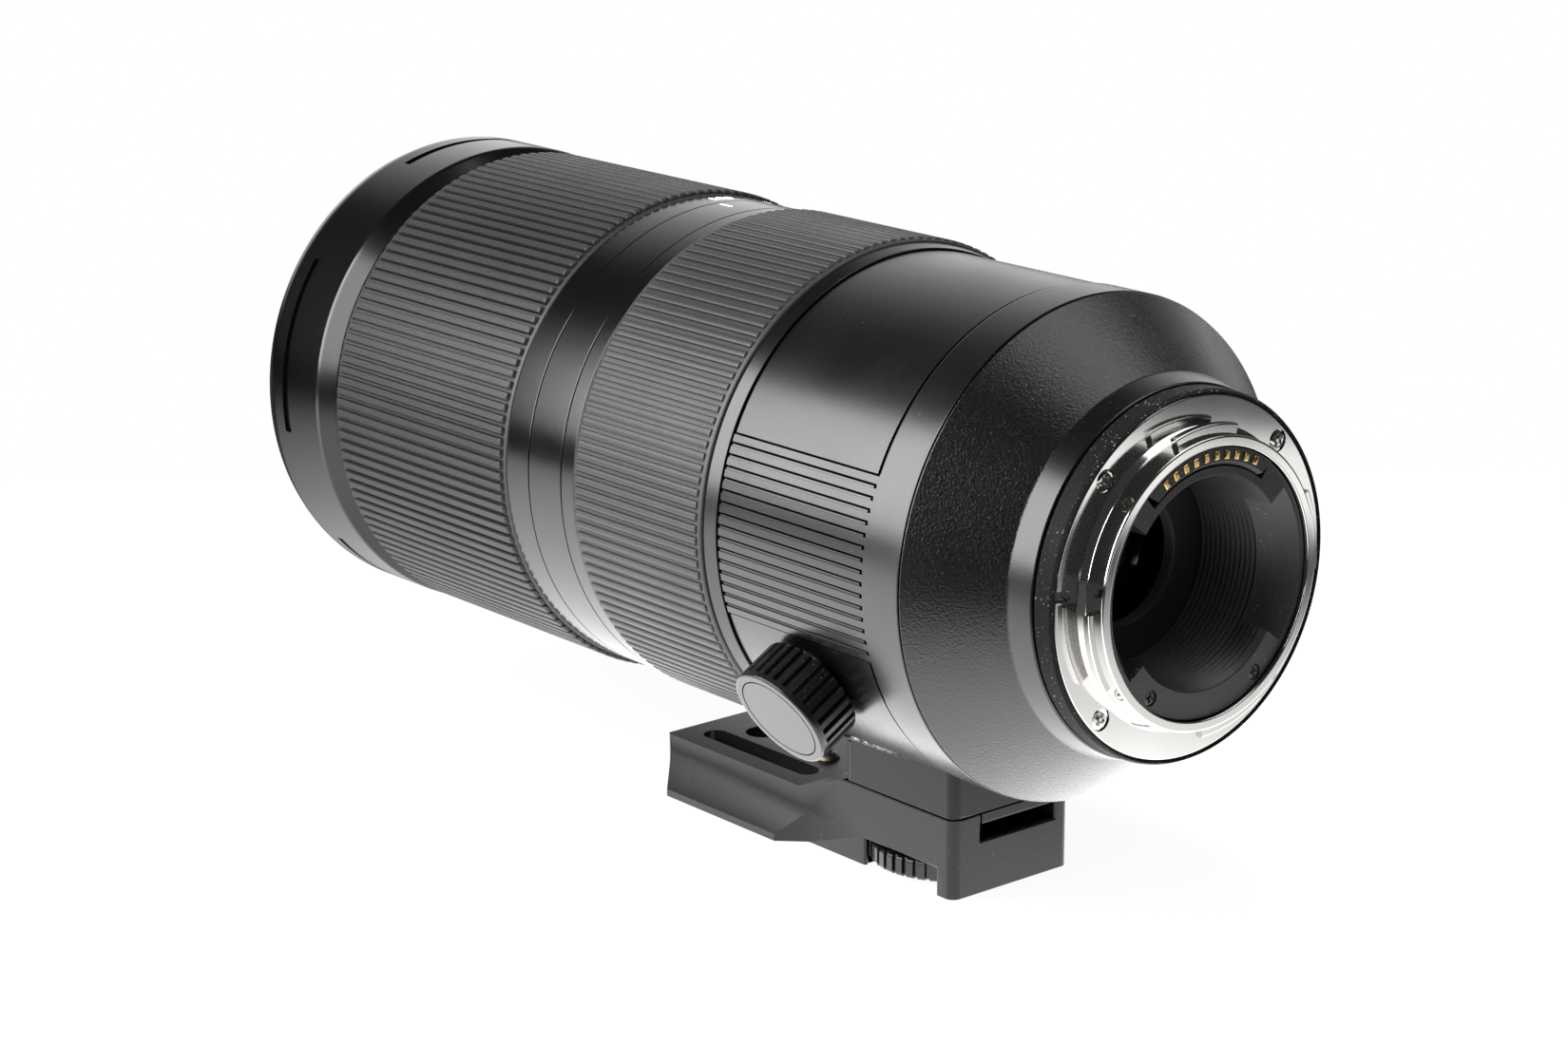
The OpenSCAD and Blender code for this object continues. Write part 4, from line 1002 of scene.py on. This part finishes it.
@dataclass
class BayonetMount:
    """Plated bayonet with its screws, contacts, baffle and the throat behind it.

    A screw's head is given by its height, the station of its top and the length of a recess arm.
    """

    flange_r: float = 29.2
    flange_t: float = 2.2
    tube_r: float = 23.6
    tube_ri: float = 21.9
    depth: float = 4.6
    tab_r: float = 25.3
    tab_y: tuple[float, float] = (-3.5, -2.1)
    tab_mids: tuple[float, ...] = (91.6, 196.2, 285.4, 10.0)
    tab_arc: float = 31.0
    screw_angles: tuple[float, ...] = (45.0, 135.0, 225.0, 315.0)
    screw_circle: float = 26.8
    screw_r: float = 1.9
    head: Point = (1.0, 0.12, 1.1)
    seat_d: float = 1.1
    lock_angle: float = 175.0
    lock_half: float = 0.9
    block_mid: float = 91.6
    block_arc: float = 77.0
    block_r: tuple[float, float] = (18.65, 19.4)
    block_y: tuple[float, float, float] = (-4.3, -3.4, 1.0)
    contacts: int = 10
    contact_step: float = 6.3
    contact_r: float = 20.5
    contact_half: tuple[float, float] = (0.68, 0.48)
    insert_ro: float = 21.8
    throat_r: float = 17.0
    ridge_d: float = 0.35
    flare_half: float = 37.0
    flare_r: float = 14.0
    mask_r: float = 11.0
    mask_y: float = 14.0
    baffle_y: tuple[float, float] = (-3.8, 2.15)
    baffle_angles: tuple[float, ...] = (233.2, 303.7)
    pit_r: float = 1.3
    pit_in: float = 1.7
    pit_head: Point = (0.6, -3.6, 0.8)
    glass_y: float = 17.3
    glass_t: float = 4.0
    glass_land: float = 15.5
    glass_curves: tuple[float, float] = (120.0, 60.0)
    cell_r: float = 23.98
    cell_y: tuple[float, float] = (2.22, 30.3)

    def build(self) -> None:
        """Builds and dresses the mount."""
        dress(self.flange(), Body.BARREL, CHROME, "bayonet_chrome", "mount_flange")
        heads = self.screws("mount_screw_heads", self.screw_angles, self.screw_circle, self.screw_r - 0.12,
                            *self.head)
        dress(heads, Body.BARREL, CHROME, "bayonet_chrome", "mount_screws")
        dress(self.block(), Body.BARREL, MATT_PLASTIC, "matte_black_plastic", "contact_block")
        dress(self.pins(), Body.BARREL, GOLD, "contact_gold", "contact_pins")
        dress(self.baffle(), Body.BARREL, MATT_PLASTIC, "matte_black_plastic", "rear_baffle")
        heads = self.screws("baffle_screw_heads", self.baffle_angles, self.insert_ro - self.pit_in,
                            self.pit_r - 0.1, *self.pit_head)
        dress(heads, Body.BARREL, BLACK_STEEL, "black_screws", "baffle_screws")
        dress(self.throat(), Body.BARREL, INNER_BLACK, "barrel_alloy", "rear_cell")
        glass = lens_shell(self.glass_y, self.glass_t, self.throat_r - 0.05, *self.glass_curves,
                           self.glass_land)
        dress(glass.build("rear_glass"), Body.BARREL, GLASS, "lens_glass", "rear_element")

    def facing_back(self, grid: Array, angle_deg: float, radius: float, station: float) -> Array:
        """Places a small grid on the rear face, its own Z pointing backwards and its own X outwards."""
        out = outwards(angle_deg)
        return placed(grid, radius * out + station * AXIS, -AXIS, out)

    def flange(self) -> Piece:
        """Flange, tube and tabs as turned shells, with screw seats and the lock slot cut in.

        Returns:
            The bayonet.
        """
        r, inner = self.tube_r, self.tube_ri
        corners = [(inner, -self.depth), (r, -self.depth), (r, -1.0), (r + 0.5, -0.45), (r + 0.9, 0.0),
                   (self.flange_r, 0.0), (self.flange_r, self.flange_t), (inner, self.flange_t)]
        body = turned_piece("bayonet_flange", corners, [0.25, 0.3, 0.2, 0.1, 0.1, 0.25, 0.1, 0.1])
        tabs = Shells()
        t0, t1 = self.tab_y
        tab = rounded([(r - 0.4, t0), (self.tab_r, t0), (self.tab_r, t1), (r - 0.4, t1)], 0.25, 4)
        for mid in self.tab_mids:
            tabs.add(arc(tab, mid, self.tab_arc / 2, 40), wrap_cols=False)
        cutter = Shells()
        rim, floor = self.screw_r, self.seat_d
        seat = rounded([(0.3, -1.0), (rim, -1.0), (rim, floor), (0.3, floor)], 0.02, 3)
        for angle in self.screw_angles:
            cutter.add(self.facing_back(spun(seat, TURN[::8]), angle, self.screw_circle, 0.0))
        h = self.lock_half
        slot = np.array([(-0.2, -h), (4.0, -h), (4.0, h), (-0.2, h), (-0.8, 0.5), (-0.8, -0.5)])
        box = np.stack([np.insert(slot, 2, level, 1) for level in (-1.0, 1.5)])
        cutter.add(self.facing_back(box, self.lock_angle, self.screw_circle, 0.0), wrap_rows=False)
        cut = carve(body, cutter)
        spare = tabs.build("tab_shells")
        work = bmesh.new()
        work.from_mesh(cut.data)
        work.from_mesh(spare.data)
        work.to_mesh(cut.data)
        work.free()
        bpy.data.objects.remove(spare)
        return cut

    def screws(self, name: str, angles: tuple[float, ...], circle: float, radius: float, height: float,
               station: float, arm: float) -> Piece:
        """Cross-recess screw heads on the rear face, each turned by another angle.

        Args:
            name: piece name.
            angles: angles of the screws.
            circle: radius of their circle.
            radius: head radius.
            height: head height.
            station: station of the head's top.
            arm: length of a recess arm.

        Returns:
            The screws.
        """
        made = Shells()
        head = screw_head(radius, height, arm, 0.17 * radius, 0.45 * height)
        for k, angle in enumerate(angles):
            c, _, s = outwards(25.0 + 37.0 * k)
            spin = np.array([[c, s, 0.0], [-s, c, 0.0], [0.0, 0.0, 1.0]])
            made.add(self.facing_back(head @ spin, angle, circle, station + height), wrap_rows=False)
        return made.build(name, 40.0)

    def block(self) -> Piece:
        """Contact block: a bevelled profile carried round the throat, with ends that lean a degree per mm.

        Returns:
            The block.
        """
        outer = self.insert_ro - 0.05
        inner, face = self.block_r
        rear, bevel, front = self.block_y
        corners = [(face, rear), (outer, rear), (outer, front), (inner, front), (inner, bevel)]
        profile = rounded(corners, 0.15, 4)
        off = np.linspace(-self.block_arc / 2, self.block_arc / 2, 72)
        lean = 1.0 - np.clip((self.block_arc / 2 - np.abs(off)) / 4.0, 0.0, 1.0)
        theta = self.block_mid + off - np.sign(off) * lean * (self.insert_ro - profile[:, :1])
        radius = np.repeat(profile[:, :1], len(off), 1)
        grid = relief(radius, profile[:, 1], np.radians(theta))
        return Shells().add(grid, wrap_cols=False).build("contact_block_finish")

    def pins(self) -> Piece:
        """Gold contacts, each a bar on the block's rear face whose outline narrows towards its top.

        Returns:
            The contacts.
        """
        made = Shells()
        u, v = self.contact_half
        outline = rounded([(-u, -v), (u, -v), (u, v), (-u, v)], 0.12, 4)
        levels = ((1.0, 0.0), (1.0, 0.16), (0.92, 0.26), (0.8, 0.3))
        bar = np.stack([np.insert(scale * outline, 2, level, 1) for scale, level in levels])
        for k in range(self.contacts):
            angle = self.block_mid + (k - (self.contacts - 1) / 2) * self.contact_step
            made.add(self.facing_back(bar, angle, self.contact_r, self.block_y[0]), wrap_rows=False)
        return made.build("contact_bars", 40.0)

    def ridges(self, start: float, end: float, count: int, radius: float) -> Array:
        """Saw-tooth wall along the axis: radius, then radius less the ridge's depth, at even stations."""
        tooth = np.arange(2 * count + 1) % 2
        return np.stack([radius - self.ridge_d * tooth, np.linspace(start, end, 2 * count + 1)], -1)

    def baffle(self) -> Piece:
        """Baffle with a ridged bore, flared sides, a seat for the contacts and screw seats.

        Returns:
            The baffle.
        """
        rear, front = self.baffle_y
        inner, outer = self.throat_r + 0.3, self.insert_ro - 0.05
        wall = self.ridges(rear + 0.6, front, 5, self.throat_r)
        shell = rounded([(inner, rear), (outer, rear), (outer, front), (inner, front)], 0.12, 3)
        shell = shell[(shell[:, 0] > self.throat_r + 0.5) | (shell[:, 1] < 0.0)]
        made = Shells().add(turned(np.concatenate([shell, wall[::-1]]))).build("rear_baffle_finish")
        cutter = Shells()
        start, end = rear - 0.5, front - 0.2
        r0, r1, floor = self.block_r[0] - 0.05, self.insert_ro + 0.7, self.block_y[2] + 0.1
        seat = np.array([(r0, start), (r1, start), (r1, floor), (r0, floor)])
        cutter.add(arc(seat, self.block_mid, self.block_arc / 2 + 0.6, 60), wrap_cols=False)
        flare = np.array([(self.flare_r, start), (self.insert_ro - 0.6, start), (self.throat_r - 0.6, end),
                          (self.flare_r, end)])
        for middle in (0.0, 180.0):
            cutter.add(arc(flare, middle, self.flare_half, 60), wrap_cols=False)
        pit = np.array([(0.2, 0.5), (self.pit_r, 0.5), (self.pit_r, -0.85), (0.2, -0.85)])
        for angle in self.baffle_angles:
            cutter.add(self.facing_back(spun(pit, TURN[::10]), angle, self.insert_ro - self.pit_in, rear))
        return carve(made, cutter, 28.0)

    def throat(self) -> Piece:
        """Rear cell: a ridged wall down to a smooth mask ring with a ridged hole, then the glass seat.

        Returns:
            The cell.
        """
        rear, front = self.cell_y
        land, glass = self.glass_land, self.glass_y
        wall = self.ridges(rear, self.mask_y, 11, self.throat_r)
        hole = self.ridges(self.mask_y, glass - 1.0, 4, self.mask_r)
        rest = np.array([(land, glass - 0.98), (land, glass), (self.throat_r, glass),
                         (self.throat_r, front - 1.0), (land, front - 1.0), (land, front),
                         (self.cell_r, front), (self.cell_r, rear)])
        return Shells().add(turned(np.concatenate([wall, hole, rest]))).build("rear_cell_finish", 28.0)


@dataclass
class TripodCollar:
    """Collar with a band, recessed panels, ribbed zones and the clamp's boss."""

    rear: float = 21.5
    front: float = 65.15
    band_end: float = 29.9
    radius: float = 41.8
    recess: float = 0.25
    bore: float = 39.9
    zone_mid: float = 176.8
    grooves: int = 15
    groove_w: float = 0.75
    line_w: float = 0.36
    edge_w: float = 0.62
    edge_round: float = 0.16
    line_d: float = 0.45
    wall_deg: float = 0.06
    ribs: int = 135
    boss_angle: float = 210.6
    boss_y: float = 47.8
    boss_r: tuple[float, float] = (2.1, 6.5)
    boss_reach: tuple[float, float] = (40.6, 41.9)

    def build(self) -> None:
        """Builds and dresses the collar: panels lie below the band, with lands left in the ribbed zones.

        Each row along the axis has a station, a radius, a share of the panel's depth and one of the line's.
        A fine line is sunk along each groove's upper edge and along the band; the sunk faces get a near-black
        finish without reflections, painted shade standing in for the shade in these slits.
        """
        depth, theta = self.depth_round()
        r, b, y0, y1 = self.radius, self.band_end, self.rear, self.front
        line_end = b + self.edge_w
        edge = [(b - back * self.edge_round, r, share, 0)
                for back, share in ((1.0, 0), (0.62, 0.1), (0.29, 0.3), (0.08, 0.6), (0.0, 1))]
        rows = np.array([(y0, self.bore, 0, 0), (y0, r - 0.2, 0, 0), (y0 + 0.06, r - 0.06, 0, 0),
                         (y0 + 0.2, r, 0, 0), (y0 + 0.3, r, 0, 0), (b - 0.4, r, 0, 0), *edge,
                         (b + 0.02, r, 1, 1), (line_end, r, 1, 1), (line_end + 0.05, r, 1, 0),
                         (line_end + 0.2, r, 1, 0), (y1 - 0.2, r, 1, 0), (y1 - 0.1, r, 1, 0),
                         (y1 - 0.03, r - 0.03, 1, 0), (y1, r - 0.1, 1, 0), (y1, self.bore, 0, 0)])
        line = rows[:, 3:] * self.line_d * np.minimum(depth / self.recess, 1.0)
        sunk = np.minimum(rows[:, 2:3] * depth + line, self.recess + self.line_d)
        made = Shells().add(relief(rows[:, 1:2] - sunk, rows[:, 0], np.radians(theta)))
        (r0, r1), (h0, h1) = self.boss_r, self.boss_reach
        boss = rounded([(r0, h0), (r1, h0), (r1, h1), (r0, h1)], 0.12, 4)
        made.add(placed(spun(boss, TURN[::3]), AXIS * self.boss_y, outwards(self.boss_angle), AXIS))
        piece = made.build("tripod_collar_finish", 30.0)
        dress(piece, Body.COLLAR, COLLAR_BLACK, "black_anodised", "tripod_collar")
        # The faces in the sunk lines get painted shade.
        paint_faces(piece, PAINTED_LINE_SHADE, self.in_shaded_line)

    def in_shaded_line(self, radius: Array, y: Array) -> Array:
        """Tells which faces lie in the sunk lines, which get painted shade: under the panels, over the bore,
        beyond the band.
        """
        below = (radius > self.bore + 0.05) & (radius < self.radius - self.recess - 0.13)
        return below & (y > self.band_end + 0.05) & (y < self.front - 0.05)

    def depth_round(self) -> tuple[Array, Array]:
        """Depth below the band round the collar, a polyline in the angle downwards from the zone's middle.

        Returns:
            Depths, and the angles in degrees that they belong to.
        """
        pitch, wall = 360.0 / self.ribs, self.wall_deg
        half_zone = 0.5 * (self.grooves + 0.6) * pitch
        half_groove, line = np.degrees([0.5 * self.groove_w, self.line_w]) / self.radius
        start = (np.arange(self.grooves) - (self.grooves - 1) / 2) * pitch - half_groove
        end = start + 2.0 * half_groove
        deep, low = self.recess + self.line_d, self.recess
        groove = np.stack([start, start + wall, start + line, start + line + wall, end - wall, end], -1)
        last = half_zone + np.array([0.0, wall, line, line + wall])
        breaks = np.concatenate([-last[::-1], groove.ravel(), last])
        one = [0.0, deep, deep, low, low, 0.0]
        levels = [low, deep, deep, 0.0, *self.grooves * one, 0.0, deep, deep, low]
        left, right = self.zone_mid + breaks, 180.0 - self.zone_mid - breaks
        theta = np.unique(np.round(np.concatenate([np.degrees(TURN), left, right]) % 360.0, 5))
        mirrored = (540.0 - self.zone_mid - theta) % 360.0
        down = np.where((theta > 90.0) & (theta < 270.0), theta - self.zone_mid, mirrored)
        return np.interp((down + 180.0) % 360.0 - 180.0, breaks, levels), theta


@dataclass
class ClampKnob:
    """Fluted knob with a plain rim and a disc in its face."""

    angle: float = 210.6
    station: float = 47.8
    base: float = 42.2
    length: float = 8.4
    radius: float = 9.3
    bore: float = 2.0
    flutes: int = 28
    flute_d: float = 0.75
    flute_half: float = 0.26
    rim: float = 1.3
    cap_r: float = 7.8
    cap_t: float = 0.7
    cap_gap: float = 0.18

    def build(self) -> None:
        """Builds and dresses the knob and its disc."""
        dress(self.knob(), Body.KNOB, KNOB_BLACK, "knob_black", "clamp_knob")
        dress(self.cap(), Body.KNOB, DISC_BLACK, "knob_black", "knob_cap")

    def onto_lens(self, grid: Array) -> Shells:
        """Places a grid built round own Z on the collar's side."""
        out = outwards(self.angle)
        return Shells().add(placed(grid, out * self.base + self.station * AXIS, out, AXIS))

    def knob(self) -> Piece:
        """Knob: radius minus the flutes' depth between the lands, up to the plain rim.

        Returns:
            The knob.
        """
        h, r, top, lip = self.flute_half, self.radius, self.length, self.length - self.rim
        wave = [(-0.5, 0.0), (-h - 0.1, 0.0), (-h - 0.06, 0.75), (-h + 0.03, 1.0), (h - 0.03, 1.0),
                (h + 0.06, 0.75), (h + 0.1, 0.0)]
        corners = [(self.bore, 0.0), (r, 0.0), (r, lip), (r, lip + 0.12), (r, top), (self.cap_r, top),
                   (self.cap_r, top - self.cap_t), (self.bore, top - self.cap_t)]
        profile = rounded(corners, [0.1, 0.7, 0.04, 0.04, 0.45, 0.1, 0.03, 0.05])
        outside = soft_step(profile[:, 1], lip + 0.06, 0.1) * (profile[:, 0] > self.bore + 1.0)
        grid = fluted(profile, outside * self.flute_d, self.flutes, wave)
        return self.onto_lens(grid).build("clamp_knob_finish", 36.0)

    def cap(self) -> Piece:
        """Disc in the knob's face with a fine gap round it.

        Returns:
            The disc.
        """
        rim, top, low = self.cap_r - self.cap_gap, self.length, self.length - self.cap_t
        profile = rounded([(0.02, low), (rim, low), (rim, top), (0.02, top)], 0.12)
        return self.onto_lens(spun(profile, TURN[::2])).build("knob_disc")


@dataclass
class TripodFoot:
    """Saddle, removable foot, its thumbwheel and the stop screw."""

    edge_w: float = 0.5
    edge_until: float = 70.0
    wheel_at: Point = (0.0, 54.6, -61.5)
    wheel_t: float = 3.5
    wheel_r: float = 13.9
    wheel_bore: float = 3.0
    flutes: int = 40
    flute_d: float = 0.6
    stop_at: Point = (0.0, 86.7, -57.6)
    stop_r: float = 2.15
    stop_h: float = 6.2
    stop_recess: Point = (1.3, 0.36, 0.8)

    def build(self) -> None:
        """Builds and dresses the foot's pieces."""
        saddle = softened_copy("foot_saddle", "saddle_finish", self.edge_w, self.edge_until)
        dress(saddle, Body.COLLAR, SADDLE_PAINT, "foot_paint", "foot_saddle")
        foot = softened_copy("tripod_foot", "foot_finish", self.edge_w, self.edge_until)
        dress(foot, Body.COLLAR, FOOT_PAINT, "foot_paint", "tripod_foot")
        dress(self.wheel(), Body.FOOT_CLAMP, KNOB_BLACK, "knob_black", "foot_thumbwheel")
        head = screw_head(self.stop_r, self.stop_h, *self.stop_recess) + np.array(self.stop_at)
        stop = Shells().add(head, wrap_rows=False).build("stop_screw_finish", 40.0)
        dress(stop, Body.COLLAR, DULL_BRASS, "cam_brass", "stop_screw")

    def wheel(self) -> Piece:
        """Thumbwheel: a turned disc with upright flutes sunk between its lands.

        Returns:
            The wheel.
        """
        r, t, bore = self.wheel_r, self.wheel_t, self.wheel_bore
        wave = [(-0.5, 0.0), (-0.36, 0.0), (-0.3, 1.0), (0.3, 1.0), (0.36, 0.0)]
        profile = rounded([(bore, 0.0), (r, 0.0), (r, t), (bore, t)], [0.05, 0.7, 0.7, 0.05])
        grid = fluted(profile, (profile[:, 0] > r - 1.5) * self.flute_d, self.flutes, wave)
        return Shells().add(grid + np.array(self.wheel_at)).build("thumbwheel_finish", 36.0)


@dataclass
class InnerDrive:
    """CAD nodes that keep their own solids, with the finish of each."""

    finishes: tuple[tuple[Finish, tuple[str, ...]], ...] = (
        (INNER_BLACK, ("main_barrel", "mount_base", "front_barrel", "zoom_carriage", "stabiliser_frame",
                       "iris_housing", "iris_cover", "focus_carriage", "rod_plate")),
        (STEEL, ("guide_tube", "zoom_keys", "focus_rods", "focus_magnet", "clamp_screw", "saddle_screws",
                 "foot_screw", "iris_blades")),
        (BRASS, ("cam_tube", "front_rollers", "zoom_rollers", "clamp_shoe")),
        (BOARD_GREEN, ("control_board",)),
        (COPPER, ("focus_coil",)),
        (GLASS, ("front_doublet", "zoom_element", "zoom_doublet", "stabiliser_element", "focus_element",
                 "rear_doublet")),
    )

    def build(self) -> None:
        """Gives each node its finish."""
        for finish, nodes in self.finishes:
            for node in nodes:
                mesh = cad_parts[node].data
                mesh.materials.clear()
                mesh.materials.append(finish.material())
                LOG.info("%s: %s", node, finish.name)


def pose(made: Piece, axes: list[Array], centre: Point) -> None:
    """Stands an object at a centre, with its own X, Y and Z along three axes.

    Args:
        made: the object.
        axes: unit vectors.
        centre: its place.
    """
    matrix = np.eye(4)
    matrix[:3, :3] = np.array(axes).T
    matrix[:3, 3] = np.array(centre) * MM
    made.matrix_world = Matrix(matrix.tolist())


@dataclass(frozen=True)
class Softbox:
    """Rectangular lamp that faces the lens; outward points from the lens to it, and a level of 1 is white."""

    name: str
    centre: Point
    outward: Point
    size: tuple[float, float]
    level: float
    mirrored: bool = True

    def build(self) -> None:
        """Adds the lamp with the power that its level needs; one not mirrored is hidden from reflections."""
        data = bpy.data.lights.new(self.name, "AREA")
        data.shape, data.size, data.size_y = "RECTANGLE", self.size[0] * MM, self.size[1] * MM
        data.energy = self.level * math.pi * data.size * data.size_y
        made = linked(self.name, data)
        axis = np.array(self.outward) / np.linalg.norm(self.outward)
        side = np.cross([0.0, 0.0, 1.0], axis)
        side /= np.linalg.norm(side)
        pose(made, [side, np.cross(axis, side), axis], self.centre)
        made.visible_glossy, made.visible_camera = self.mirrored, False


@dataclass
class Studio:
    """Pale floor, soft lamps, a white surround and the camera; the floor's own ranges are in metres."""

    floor_z: float = -62.25
    floor_half: float = 8.0
    eye: Point = (-397.785, -378.992, 163.144)
    right: Point = (0.76760, -0.64091, -0.00416)
    up: Point = (0.17693, 0.20565, 0.96250)
    back: Point = (-0.61602, -0.73955, 0.27126)
    lens: float = 84.146
    sensor: float = 36.0
    ambient: float = 0.4
    room: float = 0.05
    backdrop: float = 1.3
    backdrop_way: Point = (0.64, 0.768, 0.0)
    backdrop_edge: tuple[float, float] = (0.62, 0.95)
    away: Point = (0.63, 0.78, 0.0)
    across: Point = (0.77, -0.64, 0.0)
    table: float = 3.8
    table_at: float = 0.02
    table_edge: tuple[float, float] = (0.05, 0.19)
    table_fades: tuple[tuple[float, float, tuple[float, float]], ...] = (
        (-0.02, 0.12, (1.0, 0.3)), (0.15, 0.22, (1.0, 0.08)), (-0.54, -0.495, (0.15, 1.0)))
    card: float = 1.5
    card_at: float = 0.297
    card_edge: tuple[float, float] = (0.03, 0.05)
    shade: float = 0.07
    shade_edge: tuple[float, float] = (0.1, 0.3)
    lamps: tuple[Softbox, ...] = (
        Softbox("left", (-300.0, 212.0, 165.0), (-0.94, 0.0, 0.34), (505.0, 300.0), 10.0),
        Softbox("above", (-30.0, 60.0, 850.0), (0.0, 0.001, 1.0), (350.0, 350.0), 50.0, mirrored=False),
        Softbox("above_right", (260.0, -180.0, 600.0), (0.4, -0.35, 0.85), (460.0, 560.0), 2.4),
        Softbox("behind_camera", (-652.0, -703.0, 808.0), (-0.5, -0.6, 0.62), (900.0, 700.0), 2.0,
                mirrored=False),
    )

    def build(self) -> None:
        """Builds the stage."""
        bpy.context.scene.view_settings.view_transform = "Standard"
        self.camera()
        self.floor()
        self.surround()
        for lamp in self.lamps:
            lamp.build()

    def camera(self) -> None:
        """Puts the camera where the photograph was taken."""
        data = bpy.data.cameras.new("camera")
        data.lens, data.sensor_width, data.sensor_fit = self.lens, self.sensor, "HORIZONTAL"
        data.clip_start, data.clip_end = 0.01, 50.0
        holder = linked("camera", data)
        pose(holder, [self.right, self.up, self.back], self.eye)
        bpy.context.scene.camera = holder

    def floor(self) -> None:
        """Builds the floor: white to the camera but for a faint shadow, and to the lens a bright table.

        The table's glow falls off away from the line under the lens and along it, and a card lies beside it.
        """
        half, z = self.floor_half, self.floor_z * MM
        mesh = bpy.data.meshes.new("floor")
        spots = [(-half, -half, z), (half, -half, z), (half, half, z), (-half, half, z)]
        mesh.from_pydata(spots, [], [(0, 1, 2, 3)])
        made = linked("floor", mesh)
        sheet = ShaderSheet("floor_white")
        sheet.set(Base_Color=grey(0.9), Roughness=0.9, Specular_IOR_Level=0.0)
        away, across = sheet.along(self.away), sheet.along(self.across)
        reach = sheet.compute("ABSOLUTE", sheet.compute("SUBTRACT", away, self.table_at))
        table = sheet.ramp(reach, *self.table_edge, (self.table, 0.1))
        for fade in self.table_fades:
            table = sheet.compute("MULTIPLY", table, sheet.ramp(across, *fade))
        reach = sheet.compute("ABSOLUTE", sheet.compute("SUBTRACT", across, self.card_at))
        lit = sheet.compute("ADD", table, sheet.ramp(reach, *self.card_edge, (self.card, 0.0)))
        seen = sheet.ray("Is Camera Ray")
        glow = sheet.add("ShaderNodeEmission", Strength=sheet.blend(seen, lit, 1.0, Blend.NUMBER))
        shade = sheet.compute("MULTIPLY", seen, sheet.ramp(away, *self.shade_edge, (self.shade, 0.0)))
        mix = sheet.add("ShaderNodeMixShader")
        for spot, source in enumerate((shade, glow.outputs[0], sheet.surface.outputs[0])):
            sheet.feed(mix.inputs[spot], source)
        sheet.feed(sheet.tree.nodes["Material Output"].inputs["Surface"], mix.outputs[0])
        mesh.materials.append(sheet.material)

    def surround(self) -> None:
        """Sets a world that is white to the camera, with a white backdrop and a dim room in reflections."""
        world = bpy.data.worlds.new("surround")
        bpy.context.scene.world = world
        world.use_nodes = True
        sheet = NodeSheet(world.node_tree, "Generated")
        level = sheet.ramp(sheet.along(self.backdrop_way), *self.backdrop_edge, (self.room, self.backdrop))
        for kind, value in (("Is Diffuse Ray", self.ambient), ("Is Camera Ray", 1.0)):
            level = sheet.blend(sheet.ray(kind), level, value, Blend.NUMBER)
        light = sheet.tree.nodes["Background"]
        sheet.feed(light.inputs["Strength"], level)
        sheet.feed(light.inputs["Color"], grey(1.0))


def main() -> None:
    """Builds the lens from front to back, then its foot, its inside and the studio."""
    logging.basicConfig(level=logging.INFO, format="%(message)s")
    for unit in (FrontGroup(), ZoomControl(), FocusControl(), FixedBarrel(), BayonetMount(), TripodCollar(),
                 ClampKnob(), TripodFoot(), InnerDrive(), Studio()):
        LOG.info("building %s", type(unit).__name__)
        unit.build()


if __name__ == "__main__":
    main()
